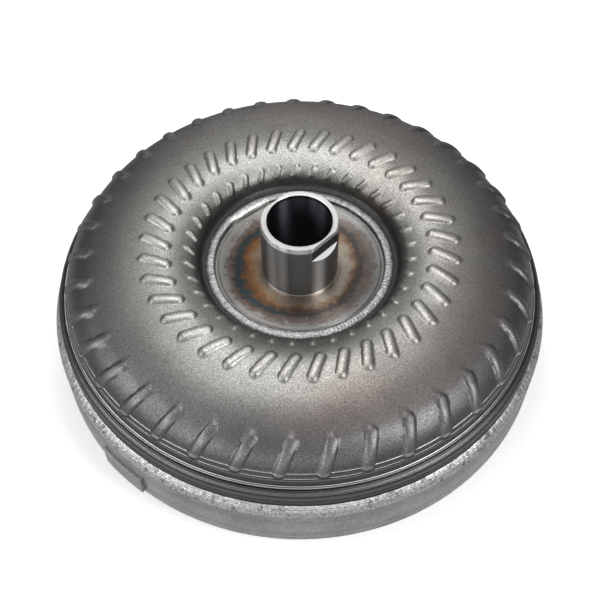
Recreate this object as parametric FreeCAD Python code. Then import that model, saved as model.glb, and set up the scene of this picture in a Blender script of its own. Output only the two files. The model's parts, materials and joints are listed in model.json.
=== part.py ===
import FreeCAD, Part
import math
import os
from FreeCAD import Vector

# Torque converter with a lock-up clutch.  Millimetres, +Z up towards the gearbox.
# The origin is on the axis, in the plane of the drive-lug faces that bolt to the flexplate.
# Every round section is written as (radius, height) points and turned about the Z axis.

# ---- Driving dimensions -------------------------------------------------------------------

UP = Vector(0, 0, 1)
ORIGIN = Vector(0, 0, 0)
FULL_TURN = 360.0
RUNNING_GAP = 0.05          # radial or axial clearance where two pieces run on each other
BRAZE_GAP = 0.02            # film between a blade and the shell it is brazed to

# Hub: the tube that drives the oil pump, and its dished flange.
HUB_TOP = 101.0
HUB_R = 20.0
HUB_BORE_R = 16.65
HUB_BASE = 63.0             # height of the relief at the foot of the tube
HUB_LEAD_IN = (0.75, 2.7)   # chamfer at the top, radial and axial
FLAT_DISTANCE = 17.8        # pump-drive flats, from the axis
FLAT_DEPTH = 9.3
FLAT_AZIMUTHS = (-45.0, 135.0)
FLANGE_R = 44.6
FLANGE_BOTTOM = 59.4

# Impeller shell: outer surface as tangent arcs, hub lip to rim skirt.
SHELL_WALL = 3.2
CROWN_R = 76.0
CROWN_Z = 82.3
CROWN_ARC = 95.0            # from the crown outwards
CROWN_TILT = 20.0           # where the crown arc hands over to the shoulder
SHOULDER_ARC = 23.5
INNER_ARC = 34.0            # from the crown inwards
INNER_TILT = 34.0
THROAT_ARC = 9.0
THROAT_TILT = 80.0
LIP_TOP = 67.6
TROUGH_R = 50.6
TROUGH_FILLET = 2.5
STEP_Z = 56.4               # machined step where the turned rim begins
LEDGE_R = 125.1
SKIRT_R = 128.6
SKIRT_SHOULDER = (128.15, 53.5)
SKIRT_BOTTOM = 35.0

# Embossed marks over the blade tabs, three rings of one mark per impeller blade.
IMPELLER_BLADES = 37
MARK_ROUND = 4.5            # radius of the embossing punch
MARK_HEIGHT = 1.1
MIDDLE_MARKS = (67.3, 81.9, -3.9)    # inner radius, outer radius, azimuth of the first one
MIDDLE_LAG = 4.2            # degrees by which the outer end trails the inner end
INNER_MARK_R = 56.6
INNER_MARK_ROUND = 3.2
INNER_MARK_AZIMUTH = 4.5
OUTER_MARK_TILTS = (27.5, 66.0)      # along the shoulder, from straight up
OUTER_MARK_SKEW = 18.5
OUTER_MARK_AZIMUTH = 3.9

# Front cover.
COVER_R = 132.3
COVER_BOTTOM = 9.0
COVER_INSIDE = 13.2
COVER_TOP = 40.0
COVER_CORNER = 6.0
COVER_HOLE_R = 13.0

# Engine side: pilot, drive lugs, balance weight.
PILOT_R = 17.5
PILOT_END = 2.0
PILOT_FOOT_R = 21.0         # flange of the pilot, welded to the cover round its edge
PILOT_FOOT_Z = 7.0
LUGS = 6
LUG_CIRCLE_R = 103.0
LUG_SIZE = (24.0, 34.0)     # radial and along the circle
LUG_CORNER = 5.0
LUG_HOLE_R = 4.25           # tap drill for M10
WEIGHT_AZIMUTHS = (222.4, 234.0)
WEIGHT_Z = (17.0, 31.0)
WEIGHT_THICKNESS = 2.2

# Torus that the oil runs in.
MID_Z = 53.0
MID_GAP = 0.6               # half the gap between impeller and turbine
CORE_R = 88.0
CORE_ARC = 13.5
CORE_WALL = 1.2
STATOR_ROOM_R = 73.6        # no blade of the impeller or turbine inside this radius ...
STATOR_ROOM_Z = 9.5         # ... and nearer than this to the middle plane
BLADE_WALL = 1.0
IMPELLER_SKEW = -22.0

# Turbine.
TURBINE_WALL = 2.0
TURBINE_SHOULDER = (97.9, 52.4)
TURBINE_SHOULDER_ARC = 22.0
TURBINE_BOTTOM_ARC = 60.0
TURBINE_BOTTOM_TILT = 21.5
TURBINE_INNER_ARC = 30.0
TURBINE_INNER_TILT = 45.0
TURBINE_LIP = (44.0, 37.2)
TURBINE_BLADES = 31
TURBINE_SKEW = 26.0
TURBINE_HUB_R = 26.0
TURBINE_HUB_BOTTOM = 17.2
TURBINE_FLANGE_R = 58.0
TURBINE_FLANGE_WALL = 4.0
RIVETS = 8
RIVET_CIRCLE_R = 52.0
RIVET_R = 2.5

# Lock-up piston, slides down onto the cover by LINING_GAP.
LINING_GAP = 1.0
LINING_WALL = 1.4
LINING_RADII = (104.0, 117.0)
PISTON_WALL = 2.4
PISTON_R = 121.5
PISTON_INNER_Z = 19.2
PISTON_STEP_R = (84.0, 98.0)
COLLAR_R = 29.5
COLLAR_TOP = 28.0
DRIVE_TANGS = 12
TANG_HALF_ANGLE = 3.6
TANG_RADII = (118.4, 121.2)

# Torsion damper.
SPRINGS = 8
SPRING_CIRCLE_R = 113.6
SPRING_Z = 27.0
SPRING_LENGTH = 43.2
SPRING_COIL_R = 5.6
SPRING_WIRE_R = 1.4
SPRING_TURNS = 7
INNER_SPRING_COIL_R = 2.9
INNER_SPRING_WIRE_R = 0.8
INNER_SPRING_TURNS = 9
STOP_HALF_ANGLE = 10.8
RETAINER_R = 124.4
RETAINER_WALL = 1.4
RETAINER_BOTTOM = 18.4
RETAINER_TOP = 36.0
DRIVEN_RING_R = (99.0, 106.2)
DRIVEN_Z = (27.5, 31.5)
DRIVEN_TIP_R = 119.5

# Stator with its roller freewheel.
STATOR_BORE_R = 38.0
STATOR_HUB_R = 46.5
STATOR_BLADES = 23
STATOR_TIP_R = 71.0
STATOR_RING_R = 72.5
STATOR_HALF_HEIGHT = 8.0
CAP_WALL = 2.0
FREEWHEEL_Z = (43.2, 53.4)
INNER_RACE_R = 24.0
ROLLERS = 10
ROLLER_R = 3.0

# Needle thrust bearings: lower race, needles in a cage, upper race.
BEARING_RADII = (27.0, 36.0)
BEARING_RACE = 1.0
BEARING_HEIGHT = 4.0
NEEDLES = 32
COVER_BEARING_Z = 13.2
TURBINE_BEARING_Z = 37.2
IMPELLER_BEARING_Z = 55.4


# ---- Helpers ------------------------------------------------------------------------------

def in_section(point):
    """A (radius, height) point as a vector in the XZ plane."""
    return Vector(point[0], 0, point[1])


def on_arc(centre, radius, tilt):
    """Point of an arc, by its tilt in degrees from straight up, outwards positive."""
    angle = math.radians(tilt)
    return (centre[0] + radius * math.sin(angle), centre[1] + radius * math.cos(angle))


def arc_step(centre, radius, tilt_from, tilt_to):
    """The (middle, end) pair of points that an outline takes for an arc."""
    middle = on_arc(centre, radius, (tilt_from + tilt_to) / 2)
    return (middle, on_arc(centre, radius, tilt_to))


def section(start, *steps):
    """Closed face: a step is a point, for a line, or a (middle, end) pair, for an arc."""
    edges = []
    here = start
    for step in steps + (start,):
        is_arc = isinstance(step[0], tuple)
        there = step[1] if is_arc else step
        if is_arc:
            edges.append(Part.Arc(in_section(here), in_section(step[0]), in_section(there)).toShape())
        elif in_section(here).distanceToPoint(in_section(there)) > 1e-6:
            edges.append(Part.LineSegment(in_section(here), in_section(there)).toShape())
        here = there
    return Part.Face(Part.Wire(edges))


def turned(start, *steps):
    """Solid of revolution about the Z axis."""
    return section(start, *steps).revolve(ORIGIN, UP, FULL_TURN)


def ring(inner_r, outer_r, bottom, top):
    return turned((inner_r, bottom), (outer_r, bottom), (outer_r, top), (inner_r, top))


def sector(inner_r, outer_r, bottom, top, half_angle, azimuth=0.0):
    """Part of a ring, centred on an azimuth."""
    face = section((inner_r, bottom), (outer_r, bottom), (outer_r, top), (inner_r, top))
    solid = face.revolve(ORIGIN, UP, 2 * half_angle)
    solid.rotate(ORIGIN, UP, azimuth - half_angle)
    return solid


def prism(points, bottom, top):
    """Straight-sided solid with a plan outline of (x, y) points."""
    corners = [Vector(x, y, bottom) for x, y in points]
    face = Part.Face(Part.makePolygon(corners + corners[:1]))
    return face.extrude(Vector(0, 0, top - bottom))


def around(solid, count, first=0.0):
    """Equally spaced copies of a solid about the axis."""
    copies = []
    for index in range(count):
        copy = solid.copy()
        copy.rotate(ORIGIN, UP, first + index * FULL_TURN / count)
        copies.append(copy)
    return copies


def flat_point(radius, azimuth):
    """(x, y) of a point given by its radius and azimuth in degrees."""
    angle = math.radians(azimuth)
    return (radius * math.cos(angle), radius * math.sin(angle))


def star(inner_r, outer_r, teeth):
    """Plan outline of a splined hole: teeth reach in to one radius, spaces out to the other."""
    pitch = FULL_TURN / teeth
    corners = ((inner_r, 0.04), (inner_r, 0.46), (outer_r, 0.54), (outer_r, 0.96))
    return [flat_point(radius, (tooth + share) * pitch)
            for tooth in range(teeth) for radius, share in corners]


def save(name, *solids):
    """Write one node; a node of several pieces keeps them as separate solids."""
    shape = solids[0] if len(solids) == 1 else Part.makeCompound(list(solids))
    for solid in shape.Solids:
        if not solid.isValid() or solid.Volume < 0.01:
            raise ValueError(name + " has a bad solid")
    shape.exportStep("parts/" + name + ".step")
    print(f"{name:28s} solids {len(shape.Solids):3d}  volume {shape.Volume:10.1f}")


# ---- Impeller shell and its marks ---------------------------------------------------------

CROWN_CENTRE = (CROWN_R, CROWN_Z - CROWN_ARC)
SHOULDER_CENTRE = on_arc(CROWN_CENTRE, CROWN_ARC - SHOULDER_ARC, CROWN_TILT)
INNER_CENTRE = (CROWN_R, CROWN_Z - INNER_ARC)
THROAT_CENTRE = on_arc(INNER_CENTRE, INNER_ARC - THROAT_ARC, -INNER_TILT)


def shell_height(radius):
    """Height of the shell's outer surface between the throat and the shoulder."""
    shoulder_start = on_arc(SHOULDER_CENTRE, SHOULDER_ARC, CROWN_TILT)[0]
    throat_start = on_arc(INNER_CENTRE, INNER_ARC, -INNER_TILT)[0]
    centre, arc = CROWN_CENTRE, CROWN_ARC
    if radius > shoulder_start:
        centre, arc = SHOULDER_CENTRE, SHOULDER_ARC
    elif radius < throat_start:
        centre, arc = THROAT_CENTRE, THROAT_ARC
    elif radius < CROWN_R:
        centre, arc = INNER_CENTRE, INNER_ARC
    return centre[1] + math.sqrt(arc ** 2 - (radius - centre[0]) ** 2)


def shell_inside():
    """Steps of the shell's inner surface, from the skirt up over the crown to the hub lip."""
    throat, inner, crown, shoulder = [
        arc - SHELL_WALL for arc in (THROAT_ARC, INNER_ARC, CROWN_ARC, SHOULDER_ARC)]
    lip_bottom = LIP_TOP - SHELL_WALL
    return [
        (SKIRT_R - SHELL_WALL, SKIRT_SHOULDER[1] - SHELL_WALL),
        on_arc(SHOULDER_CENTRE, shoulder, 90),
        arc_step(SHOULDER_CENTRE, shoulder, 90, CROWN_TILT),
        arc_step(CROWN_CENTRE, crown, CROWN_TILT, 0),
        arc_step(INNER_CENTRE, inner, 0, -INNER_TILT),
        arc_step(THROAT_CENTRE, throat, -INNER_TILT, -THROAT_TILT),
        (TROUGH_R + SHELL_WALL, lip_bottom),
        (FLANGE_R, lip_bottom),
    ]


def plain_impeller_shell():
    step_tilt = 90 - math.degrees(math.asin((STEP_Z - SHOULDER_CENTRE[1]) / SHOULDER_ARC))
    wall_foot = on_arc(THROAT_CENTRE, THROAT_ARC, -THROAT_TILT)
    fillet_centre = (TROUGH_R, LIP_TOP + TROUGH_FILLET)
    return turned(
        (FLANGE_R, LIP_TOP),
        (TROUGH_R, LIP_TOP),
        (on_arc(fillet_centre, TROUGH_FILLET, 140), on_arc(fillet_centre, TROUGH_FILLET, 100)),
        wall_foot,
        arc_step(THROAT_CENTRE, THROAT_ARC, -THROAT_TILT, -INNER_TILT),
        arc_step(INNER_CENTRE, INNER_ARC, -INNER_TILT, 0),
        arc_step(CROWN_CENTRE, CROWN_ARC, 0, CROWN_TILT),
        arc_step(SHOULDER_CENTRE, SHOULDER_ARC, CROWN_TILT, step_tilt),
        (LEDGE_R, STEP_Z),
        SKIRT_SHOULDER,
        (SKIRT_R, SKIRT_SHOULDER[1] - 2),
        (SKIRT_R, SKIRT_BOTTOM),
        (SKIRT_R - SHELL_WALL, SKIRT_BOTTOM),
        *shell_inside(),
    )


def straight_mark(start, end, punch_r):
    """Round-ended ridge between two (radius, azimuth) points, standing MARK_HEIGHT proud."""
    ends = []
    for radius, azimuth in (start, end):
        angle = math.radians(azimuth)
        height = shell_height(radius) + MARK_HEIGHT - punch_r
        ends.append(Vector(radius * math.cos(angle), radius * math.sin(angle), height))
    along = ends[1] - ends[0]
    length = along.Length
    half = Part.Wire([
        Part.Arc(Vector(-punch_r, 0, 0), Vector(-punch_r, 0, 0) * 0.6 + Vector(0, 0.8 * punch_r, 0),
                 Vector(0, punch_r, 0)).toShape(),
        Part.LineSegment(Vector(0, punch_r, 0), Vector(length, punch_r, 0)).toShape(),
        Part.Arc(Vector(length, punch_r, 0), Vector(length + 0.6 * punch_r, 0.8 * punch_r, 0),
                 Vector(length + punch_r, 0, 0)).toShape(),
        Part.LineSegment(Vector(length + punch_r, 0, 0), Vector(-punch_r, 0, 0)).toShape(),
    ])
    solid = Part.Face(half).revolve(ORIGIN, Vector(1, 0, 0), FULL_TURN)
    solid.Placement = FreeCAD.Placement(ends[0], FreeCAD.Rotation(Vector(1, 0, 0), along))
    return solid


def shoulder_mark():
    """Ridge that follows the shoulder's arc, skewed about its own middle."""
    first, last = OUTER_MARK_TILTS
    reach = SHOULDER_ARC + MARK_HEIGHT - MARK_ROUND
    start = in_section(on_arc(SHOULDER_CENTRE, reach, first))
    pivot = in_section(SHOULDER_CENTRE)
    tangent = Vector(math.cos(math.radians(first)), 0, -math.sin(math.radians(first)))
    disc = Part.Face(Part.Wire(Part.makeCircle(MARK_ROUND, start, tangent)))
    bend = disc.revolve(pivot, Vector(0, 1, 0), last - first)
    end = in_section(on_arc(SHOULDER_CENTRE, reach, last))
    ridge = bend.fuse([Part.makeSphere(MARK_ROUND, start), Part.makeSphere(MARK_ROUND, end)])
    middle_tilt = (first + last) / 2
    normal = in_section(on_arc((0, 0), 1, middle_tilt))
    ridge.rotate(in_section(on_arc(SHOULDER_CENTRE, reach, middle_tilt)), normal, OUTER_MARK_SKEW)
    return ridge


def make_impeller_shell():
    inner_r, outer_r, azimuth = MIDDLE_MARKS
    inset = MARK_ROUND * 0.65
    middle = straight_mark((inner_r + inset, azimuth), (outer_r - inset, azimuth - MIDDLE_LAG),
                           MARK_ROUND)
    inner = straight_mark((INNER_MARK_R, INNER_MARK_AZIMUTH),
                          (INNER_MARK_R + 2.5, INNER_MARK_AZIMUTH - 1.5), INNER_MARK_ROUND)
    marks = around(middle, IMPELLER_BLADES) + around(inner, IMPELLER_BLADES)
    marks += around(shoulder_mark(), IMPELLER_BLADES, OUTER_MARK_AZIMUTH)
    cavity = turned((FLANGE_R, SKIRT_BOTTOM), (SKIRT_R - SHELL_WALL, SKIRT_BOTTOM), *shell_inside())
    save("impeller_shell", plain_impeller_shell().fuse(marks).cut(cavity))


# ---- Hub, cover and welds -----------------------------------------------------------------

def make_impeller_hub():
    hub = turned(
        (HUB_BORE_R, FLANGE_BOTTOM),
        (40.0, FLANGE_BOTTOM),
        (FLANGE_R, FLANGE_BOTTOM + 3.8),
        (FLANGE_R, LIP_TOP - 2.0),
        (43.4, LIP_TOP - 2.0),
        (42.6, LIP_TOP - 1.2),
        ((32.0, HUB_BASE + 1.1), (22.0, HUB_BASE + 0.2)),
        (21.0, HUB_BASE - 0.3),
        (HUB_R, HUB_BASE + 0.6),
        (HUB_R, HUB_TOP - HUB_LEAD_IN[1]),
        (HUB_R - HUB_LEAD_IN[0], HUB_TOP),
        (HUB_BORE_R + 0.5, HUB_TOP),
        (HUB_BORE_R, HUB_TOP - 0.5),
    )
    for azimuth in FLAT_AZIMUTHS:
        chip = Part.makeBox(HUB_R, 3 * HUB_R, FLAT_DEPTH + 1)
        chip.translate(Vector(FLAT_DISTANCE, -1.5 * HUB_R, HUB_TOP - FLAT_DEPTH))
        chip.rotate(ORIGIN, UP, azimuth)
        hub = hub.cut(chip)
    save("impeller_hub", hub)


def make_hub_weld():
    save("hub_weld", turned(
        (43.9, LIP_TOP - 2.0),
        (FLANGE_R, LIP_TOP - 2.0),
        (FLANGE_R, LIP_TOP),
        (48.9, LIP_TOP),
        ((47.4, LIP_TOP + 1.5), (44.6, LIP_TOP + 0.9)),
        ((43.9, LIP_TOP + 0.1), (43.9, LIP_TOP - 1.0)),
    ))


def make_front_cover():
    inner_corner = COVER_CORNER - 3.0
    save("front_cover", turned(
        (COVER_HOLE_R, COVER_BOTTOM),
        (COVER_R - COVER_CORNER, COVER_BOTTOM),
        arc_step((COVER_R - COVER_CORNER, COVER_BOTTOM + COVER_CORNER), COVER_CORNER, 180, 90),
        (COVER_R, COVER_TOP),
        (SKIRT_R, COVER_TOP),
        (SKIRT_R, COVER_INSIDE + inner_corner),
        arc_step((SKIRT_R - inner_corner, COVER_INSIDE + inner_corner), inner_corner, 90, 180),
        (COVER_HOLE_R, COVER_INSIDE),
    ))


def make_rim_weld():
    save("rim_weld", turned(
        (SKIRT_R, COVER_TOP),
        (COVER_R, COVER_TOP),
        ((COVER_R + 0.3, COVER_TOP + 0.6), (COVER_R, COVER_TOP + 1.2)),
        ((COVER_R - 1.2, COVER_TOP + 3.6), (SKIRT_R, COVER_TOP + 5.2)),
    ))


def make_pilot():
    chamfer = 1.5
    save("pilot_boss", turned(
        (0, PILOT_END),
        (PILOT_R - chamfer, PILOT_END),
        (PILOT_R, PILOT_END + chamfer),
        (PILOT_R, PILOT_FOOT_Z),
        (PILOT_FOOT_R, PILOT_FOOT_Z),
        (PILOT_FOOT_R, COVER_BOTTOM),
        (COVER_HOLE_R, COVER_BOTTOM),
        (COVER_HOLE_R, COVER_INSIDE),
        (9.5, COVER_INSIDE),
        (9.5, COVER_BOTTOM),
        (0, COVER_BOTTOM - 1.5),
    ))
    leg = COVER_BOTTOM - PILOT_FOOT_Z
    save("pilot_weld", turned(
        (PILOT_FOOT_R, COVER_BOTTOM),
        (PILOT_FOOT_R + leg, COVER_BOTTOM),
        ((PILOT_FOOT_R + 0.6 * leg, COVER_BOTTOM - 0.6 * leg), (PILOT_FOOT_R, PILOT_FOOT_Z)),
    ))


def make_drive_lugs():
    depth, width = LUG_SIZE
    block = Part.makeBox(depth, width, COVER_BOTTOM)
    block.translate(Vector(LUG_CIRCLE_R - depth / 2, -width / 2, 0))
    uprights = [edge for edge in block.Edges if edge.BoundBox.ZLength > COVER_BOTTOM - 0.1]
    block = block.makeFillet(LUG_CORNER, uprights)
    hole = Part.makeCylinder(LUG_HOLE_R, COVER_BOTTOM, Vector(LUG_CIRCLE_R, 0, 0), UP)
    save("drive_lugs", *around(block.cut(hole), LUGS))

    # A fillet weld runs along the inner and the outer side of each lug.
    leg = 3.0
    length = width - 2 * LUG_CORNER
    bead_wire = Part.makePolygon([Vector(0, 0, 0), Vector(leg, 0, 0), Vector(0, 0, -leg), Vector(0, 0, 0)])
    outer_bead = Part.Face(bead_wire).extrude(Vector(0, length, 0))
    outer_bead.translate(Vector(LUG_CIRCLE_R + depth / 2, -length / 2, COVER_BOTTOM))
    inner_bead = Part.Face(bead_wire).extrude(Vector(0, length, 0))
    inner_bead.rotate(ORIGIN, UP, 180)
    inner_bead.translate(Vector(LUG_CIRCLE_R - depth / 2, length / 2, COVER_BOTTOM))
    save("lug_welds", *around(outer_bead, LUGS), *around(inner_bead, LUGS))


def make_balance_weight():
    first, last = WEIGHT_AZIMUTHS
    save("balance_weight", sector(COVER_R, COVER_R + WEIGHT_THICKNESS, WEIGHT_Z[0], WEIGHT_Z[1],
                                  (last - first) / 2, (first + last) / 2))


# ---- Impeller blades and core -------------------------------------------------------------

def skewed_plate(skew, bottom, top):
    """Upright blade blank through the middle of the torus, turned off the radial line."""
    length = 2 * CORE_R
    blank = Part.makeBox(length, BLADE_WALL, top - bottom)
    blank.translate(Vector(CORE_R - length / 2, -BLADE_WALL / 2, bottom))
    blank.rotate(Vector(CORE_R, 0, 0), UP, skew)
    return blank


def core_ring(side):
    """Half of the hollow core, on the upper (+1) or lower (-1) side of the middle plane."""
    flat = math.degrees(math.asin(MID_GAP / CORE_ARC))
    inner_arc = CORE_ARC - CORE_WALL
    inner_flat = math.degrees(math.asin(MID_GAP / inner_arc))
    top = 90 - flat
    inner_top = 90 - inner_flat
    half = turned(
        on_arc((CORE_R, 0), CORE_ARC, -top),
        arc_step((CORE_R, 0), CORE_ARC, -top, top),
        on_arc((CORE_R, 0), inner_arc, inner_top),
        arc_step((CORE_R, 0), inner_arc, inner_top, -inner_top),
    )
    if side < 0:
        half = half.mirror(ORIGIN, UP)
    half.translate(Vector(0, 0, MID_Z))
    return half


def make_impeller_blades():
    arcs = [arc - SHELL_WALL - BRAZE_GAP for arc in (THROAT_ARC, INNER_ARC, CROWN_ARC, SHOULDER_ARC)]
    bottom = MID_Z + MID_GAP
    shoulder_foot = on_arc(SHOULDER_CENTRE, arcs[3], 90)
    passage = turned(
        (shoulder_foot[0], bottom),
        shoulder_foot,
        arc_step(SHOULDER_CENTRE, arcs[3], 90, CROWN_TILT),
        arc_step(CROWN_CENTRE, arcs[2], CROWN_TILT, 0),
        arc_step(INNER_CENTRE, arcs[1], 0, -INNER_TILT),
        arc_step(THROAT_CENTRE, arcs[0], -INNER_TILT, -60),
        (STATOR_ROOM_R - 14, MID_Z + STATOR_ROOM_Z),
        (STATOR_ROOM_R, MID_Z + STATOR_ROOM_Z),
        (STATOR_ROOM_R, bottom),
    )
    core = ring_of_arc(CORE_ARC + BRAZE_GAP)
    blade = skewed_plate(IMPELLER_SKEW, bottom, CROWN_Z).common(passage).cut(core)
    save("impeller_blades", *around(blade, IMPELLER_BLADES, IMPELLER_SKEW / 4))
    save("impeller_core_ring", core_ring(+1))


def ring_of_arc(radius):
    """Full torus on the core's centre line."""
    return Part.makeTorus(CORE_R, radius, Vector(0, 0, MID_Z), UP)


# ---- Turbine ------------------------------------------------------------------------------

TURBINE_BOTTOM_CENTRE = on_arc(TURBINE_SHOULDER, TURBINE_BOTTOM_ARC - TURBINE_SHOULDER_ARC,
                               -TURBINE_BOTTOM_TILT)
TURBINE_LOWEST = TURBINE_BOTTOM_CENTRE[1] - TURBINE_BOTTOM_ARC
TURBINE_INNER_CENTRE = (TURBINE_BOTTOM_CENTRE[0], TURBINE_LOWEST + TURBINE_INNER_ARC)


def turbine_arcs(inset, inwards=True):
    """The three arcs of the turbine shell, rim to lip, moved in by an inset."""
    down = 180.0
    shoulder = TURBINE_SHOULDER_ARC - inset
    bottom = TURBINE_BOTTOM_ARC - inset
    inner = TURBINE_INNER_ARC - inset
    hand_over = down - TURBINE_BOTTOM_TILT
    lip = down + TURBINE_INNER_TILT
    if inwards:
        return [
            arc_step(TURBINE_SHOULDER, shoulder, 90, hand_over),
            arc_step(TURBINE_BOTTOM_CENTRE, bottom, hand_over, down),
            arc_step(TURBINE_INNER_CENTRE, inner, down, lip),
        ]
    return [
        arc_step(TURBINE_INNER_CENTRE, inner, lip, down),
        arc_step(TURBINE_BOTTOM_CENTRE, bottom, down, hand_over),
        arc_step(TURBINE_SHOULDER, shoulder, hand_over, 90),
    ]


def make_turbine_shell():
    lip_r, lip_z = TURBINE_LIP
    outer_rim = on_arc(TURBINE_SHOULDER, TURBINE_SHOULDER_ARC, 90)
    inner_rim = on_arc(TURBINE_SHOULDER, TURBINE_SHOULDER_ARC - TURBINE_WALL, 90)
    inner_bend = on_arc(TURBINE_INNER_CENTRE, TURBINE_INNER_ARC - TURBINE_WALL,
                        180 + TURBINE_INNER_TILT)
    shell = turned(
        outer_rim,
        *turbine_arcs(0),
        (60.5, lip_z),
        (lip_r, lip_z),
        (lip_r, lip_z + TURBINE_WALL),
        (61.4, lip_z + TURBINE_WALL),
        inner_bend,
        *turbine_arcs(TURBINE_WALL, inwards=False),
        inner_rim,
    )
    hole = Part.makeCylinder(RIVET_R, TURBINE_WALL, Vector(RIVET_CIRCLE_R, 0, lip_z), UP)
    save("turbine_shell", shell.cut(around(hole, RIVETS)))


def make_turbine_blades():
    inset = TURBINE_WALL + BRAZE_GAP
    top = MID_Z - MID_GAP
    exit_z = MID_Z - STATOR_ROOM_Z
    passage = turned(
        on_arc(TURBINE_SHOULDER, TURBINE_SHOULDER_ARC - inset, 90),
        *turbine_arcs(inset),
        (STATOR_ROOM_R - 8, exit_z),
        (STATOR_ROOM_R, exit_z),
        (STATOR_ROOM_R, top),
    )
    core = ring_of_arc(CORE_ARC + BRAZE_GAP)
    blade = skewed_plate(TURBINE_SKEW, TURBINE_LOWEST, top).common(passage).cut(core)
    save("turbine_blades", *around(blade, TURBINE_BLADES))
    save("turbine_core_ring", core_ring(-1))


def make_turbine_hub():
    lip_z = TURBINE_LIP[1]
    flange_bottom = lip_z - TURBINE_FLANGE_WALL
    seal_z = TURBINE_HUB_BOTTOM + 5.5
    body = turned(
        (11.0, TURBINE_HUB_BOTTOM),
        (TURBINE_HUB_R, TURBINE_HUB_BOTTOM),
        (TURBINE_HUB_R, seal_z - 1.1),
        (TURBINE_HUB_R - 2.2, seal_z - 1.1),
        (TURBINE_HUB_R - 2.2, seal_z + 1.1),
        (TURBINE_HUB_R, seal_z + 1.1),
        (TURBINE_HUB_R, flange_bottom - 1),
        (TURBINE_HUB_R + 3, flange_bottom),
        (TURBINE_FLANGE_R, flange_bottom),
        (TURBINE_FLANGE_R, lip_z),
        (11.0, lip_z),
    )
    spline = prism(star(10.0, 12.4, 22), TURBINE_HUB_BOTTOM - 1, lip_z + 1)
    hole = Part.makeCylinder(RIVET_R, TURBINE_FLANGE_WALL, Vector(RIVET_CIRCLE_R, 0, flange_bottom), UP)
    save("turbine_hub", body.cut([spline] + around(hole, RIVETS)))
    save("piston_seal_ring", ring(TURBINE_HUB_R - 2.1, TURBINE_HUB_R + 0.02, seal_z - 1, seal_z + 1))
    return flange_bottom


def make_rivets(flange_bottom):
    """Shank through the flange, a button head under it and one on the shell's lip."""
    shell_top = TURBINE_LIP[1] + TURBINE_WALL
    head_r = RIVET_R + 1.3
    head = 1.2
    rivet = turned(
        (0, flange_bottom - head),
        (head_r - 0.6, flange_bottom - head),
        (head_r, flange_bottom),
        (RIVET_R, flange_bottom),
        (RIVET_R, shell_top),
        (head_r, shell_top),
        (head_r - 0.6, shell_top + head),
        (0, shell_top + head),
    )
    rivet.translate(Vector(RIVET_CIRCLE_R, 0, 0))
    save("turbine_rivets", *around(rivet, RIVETS))


# ---- Lock-up clutch and torsion damper ----------------------------------------------------

def make_lockup_piston():
    low = COVER_INSIDE + LINING_GAP + LINING_WALL
    bore = TURBINE_HUB_R + RUNNING_GAP
    step_in, step_out = PISTON_STEP_R
    plate = turned(
        (bore, PISTON_INNER_Z),
        (step_in, PISTON_INNER_Z),
        (step_out, low),
        (PISTON_R, low),
        (PISTON_R, low + PISTON_WALL),
        (step_out, low + PISTON_WALL),
        (step_in, PISTON_INNER_Z + PISTON_WALL),
        (COLLAR_R + 1, PISTON_INNER_Z + PISTON_WALL),
        (COLLAR_R, PISTON_INNER_Z + PISTON_WALL + 1),
        (COLLAR_R, COLLAR_TOP),
        (bore, COLLAR_TOP),
    )
    notch = sector(TANG_RADII[0] - 0.4, PISTON_R + 1, low - 1, low + PISTON_WALL + 1,
                   TANG_HALF_ANGLE + 0.5)
    save("piston_plate", plate.cut(around(notch, DRIVE_TANGS)))
    save("friction_lining", ring(LINING_RADII[0], LINING_RADII[1], low - LINING_WALL, low))


def make_spring_retainer():
    """Channel that holds the springs, with stops between them and tangs that drive the piston."""
    floor = RETAINER_BOTTOM + RETAINER_WALL
    inside = RETAINER_R - RETAINER_WALL
    channel = turned(
        (104.0, RETAINER_BOTTOM),
        (RETAINER_R - 2, RETAINER_BOTTOM),
        (RETAINER_R, RETAINER_BOTTOM + 2),
        (RETAINER_R, RETAINER_TOP - 1),
        (RETAINER_R - 1, RETAINER_TOP),
        (117.0, RETAINER_TOP),
        (117.0, RETAINER_TOP - RETAINER_WALL),
        (inside, RETAINER_TOP - RETAINER_WALL),
        (inside, floor),
        (104.0, floor),
    )
    half_pitch = FULL_TURN / SPRINGS / 2
    stop = sector(109.0, inside, floor - 0.5, DRIVEN_Z[0] - 2, STOP_HALF_ANGLE)
    tang = sector(TANG_RADII[0], TANG_RADII[1], COVER_INSIDE + 2.4, RETAINER_BOTTOM + 0.5,
                  TANG_HALF_ANGLE)
    extras = around(stop, SPRINGS, half_pitch) + around(tang, DRIVE_TANGS)
    save("spring_retainer", channel.fuse(extras).removeSplitter())


def coil(coil_r, wire_r, turns):
    """Coil spring along the tangent at azimuth 0, its ends clear of the stops."""
    reach = SPRING_LENGTH - 2 * wire_r
    helix = Part.Wire(Part.makeHelix(reach / turns, reach, coil_r))
    wire = Part.Wire(Part.makeCircle(wire_r, Vector(coil_r, 0, 0), Vector(0, 1, 0)))
    spring = helix.makePipeShell([wire], True, True)
    spring.translate(Vector(0, 0, -reach / 2))
    spring.rotate(ORIGIN, Vector(1, 0, 0), 90)
    spring.translate(Vector(SPRING_CIRCLE_R, 0, SPRING_Z))
    return spring


def make_damper_springs():
    save("damper_springs", *around(coil(SPRING_COIL_R, SPRING_WIRE_R, SPRING_TURNS), SPRINGS))
    inner = coil(INNER_SPRING_COIL_R, INNER_SPRING_WIRE_R, INNER_SPRING_TURNS)
    save("damper_inner_springs", *around(inner, SPRINGS))


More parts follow.
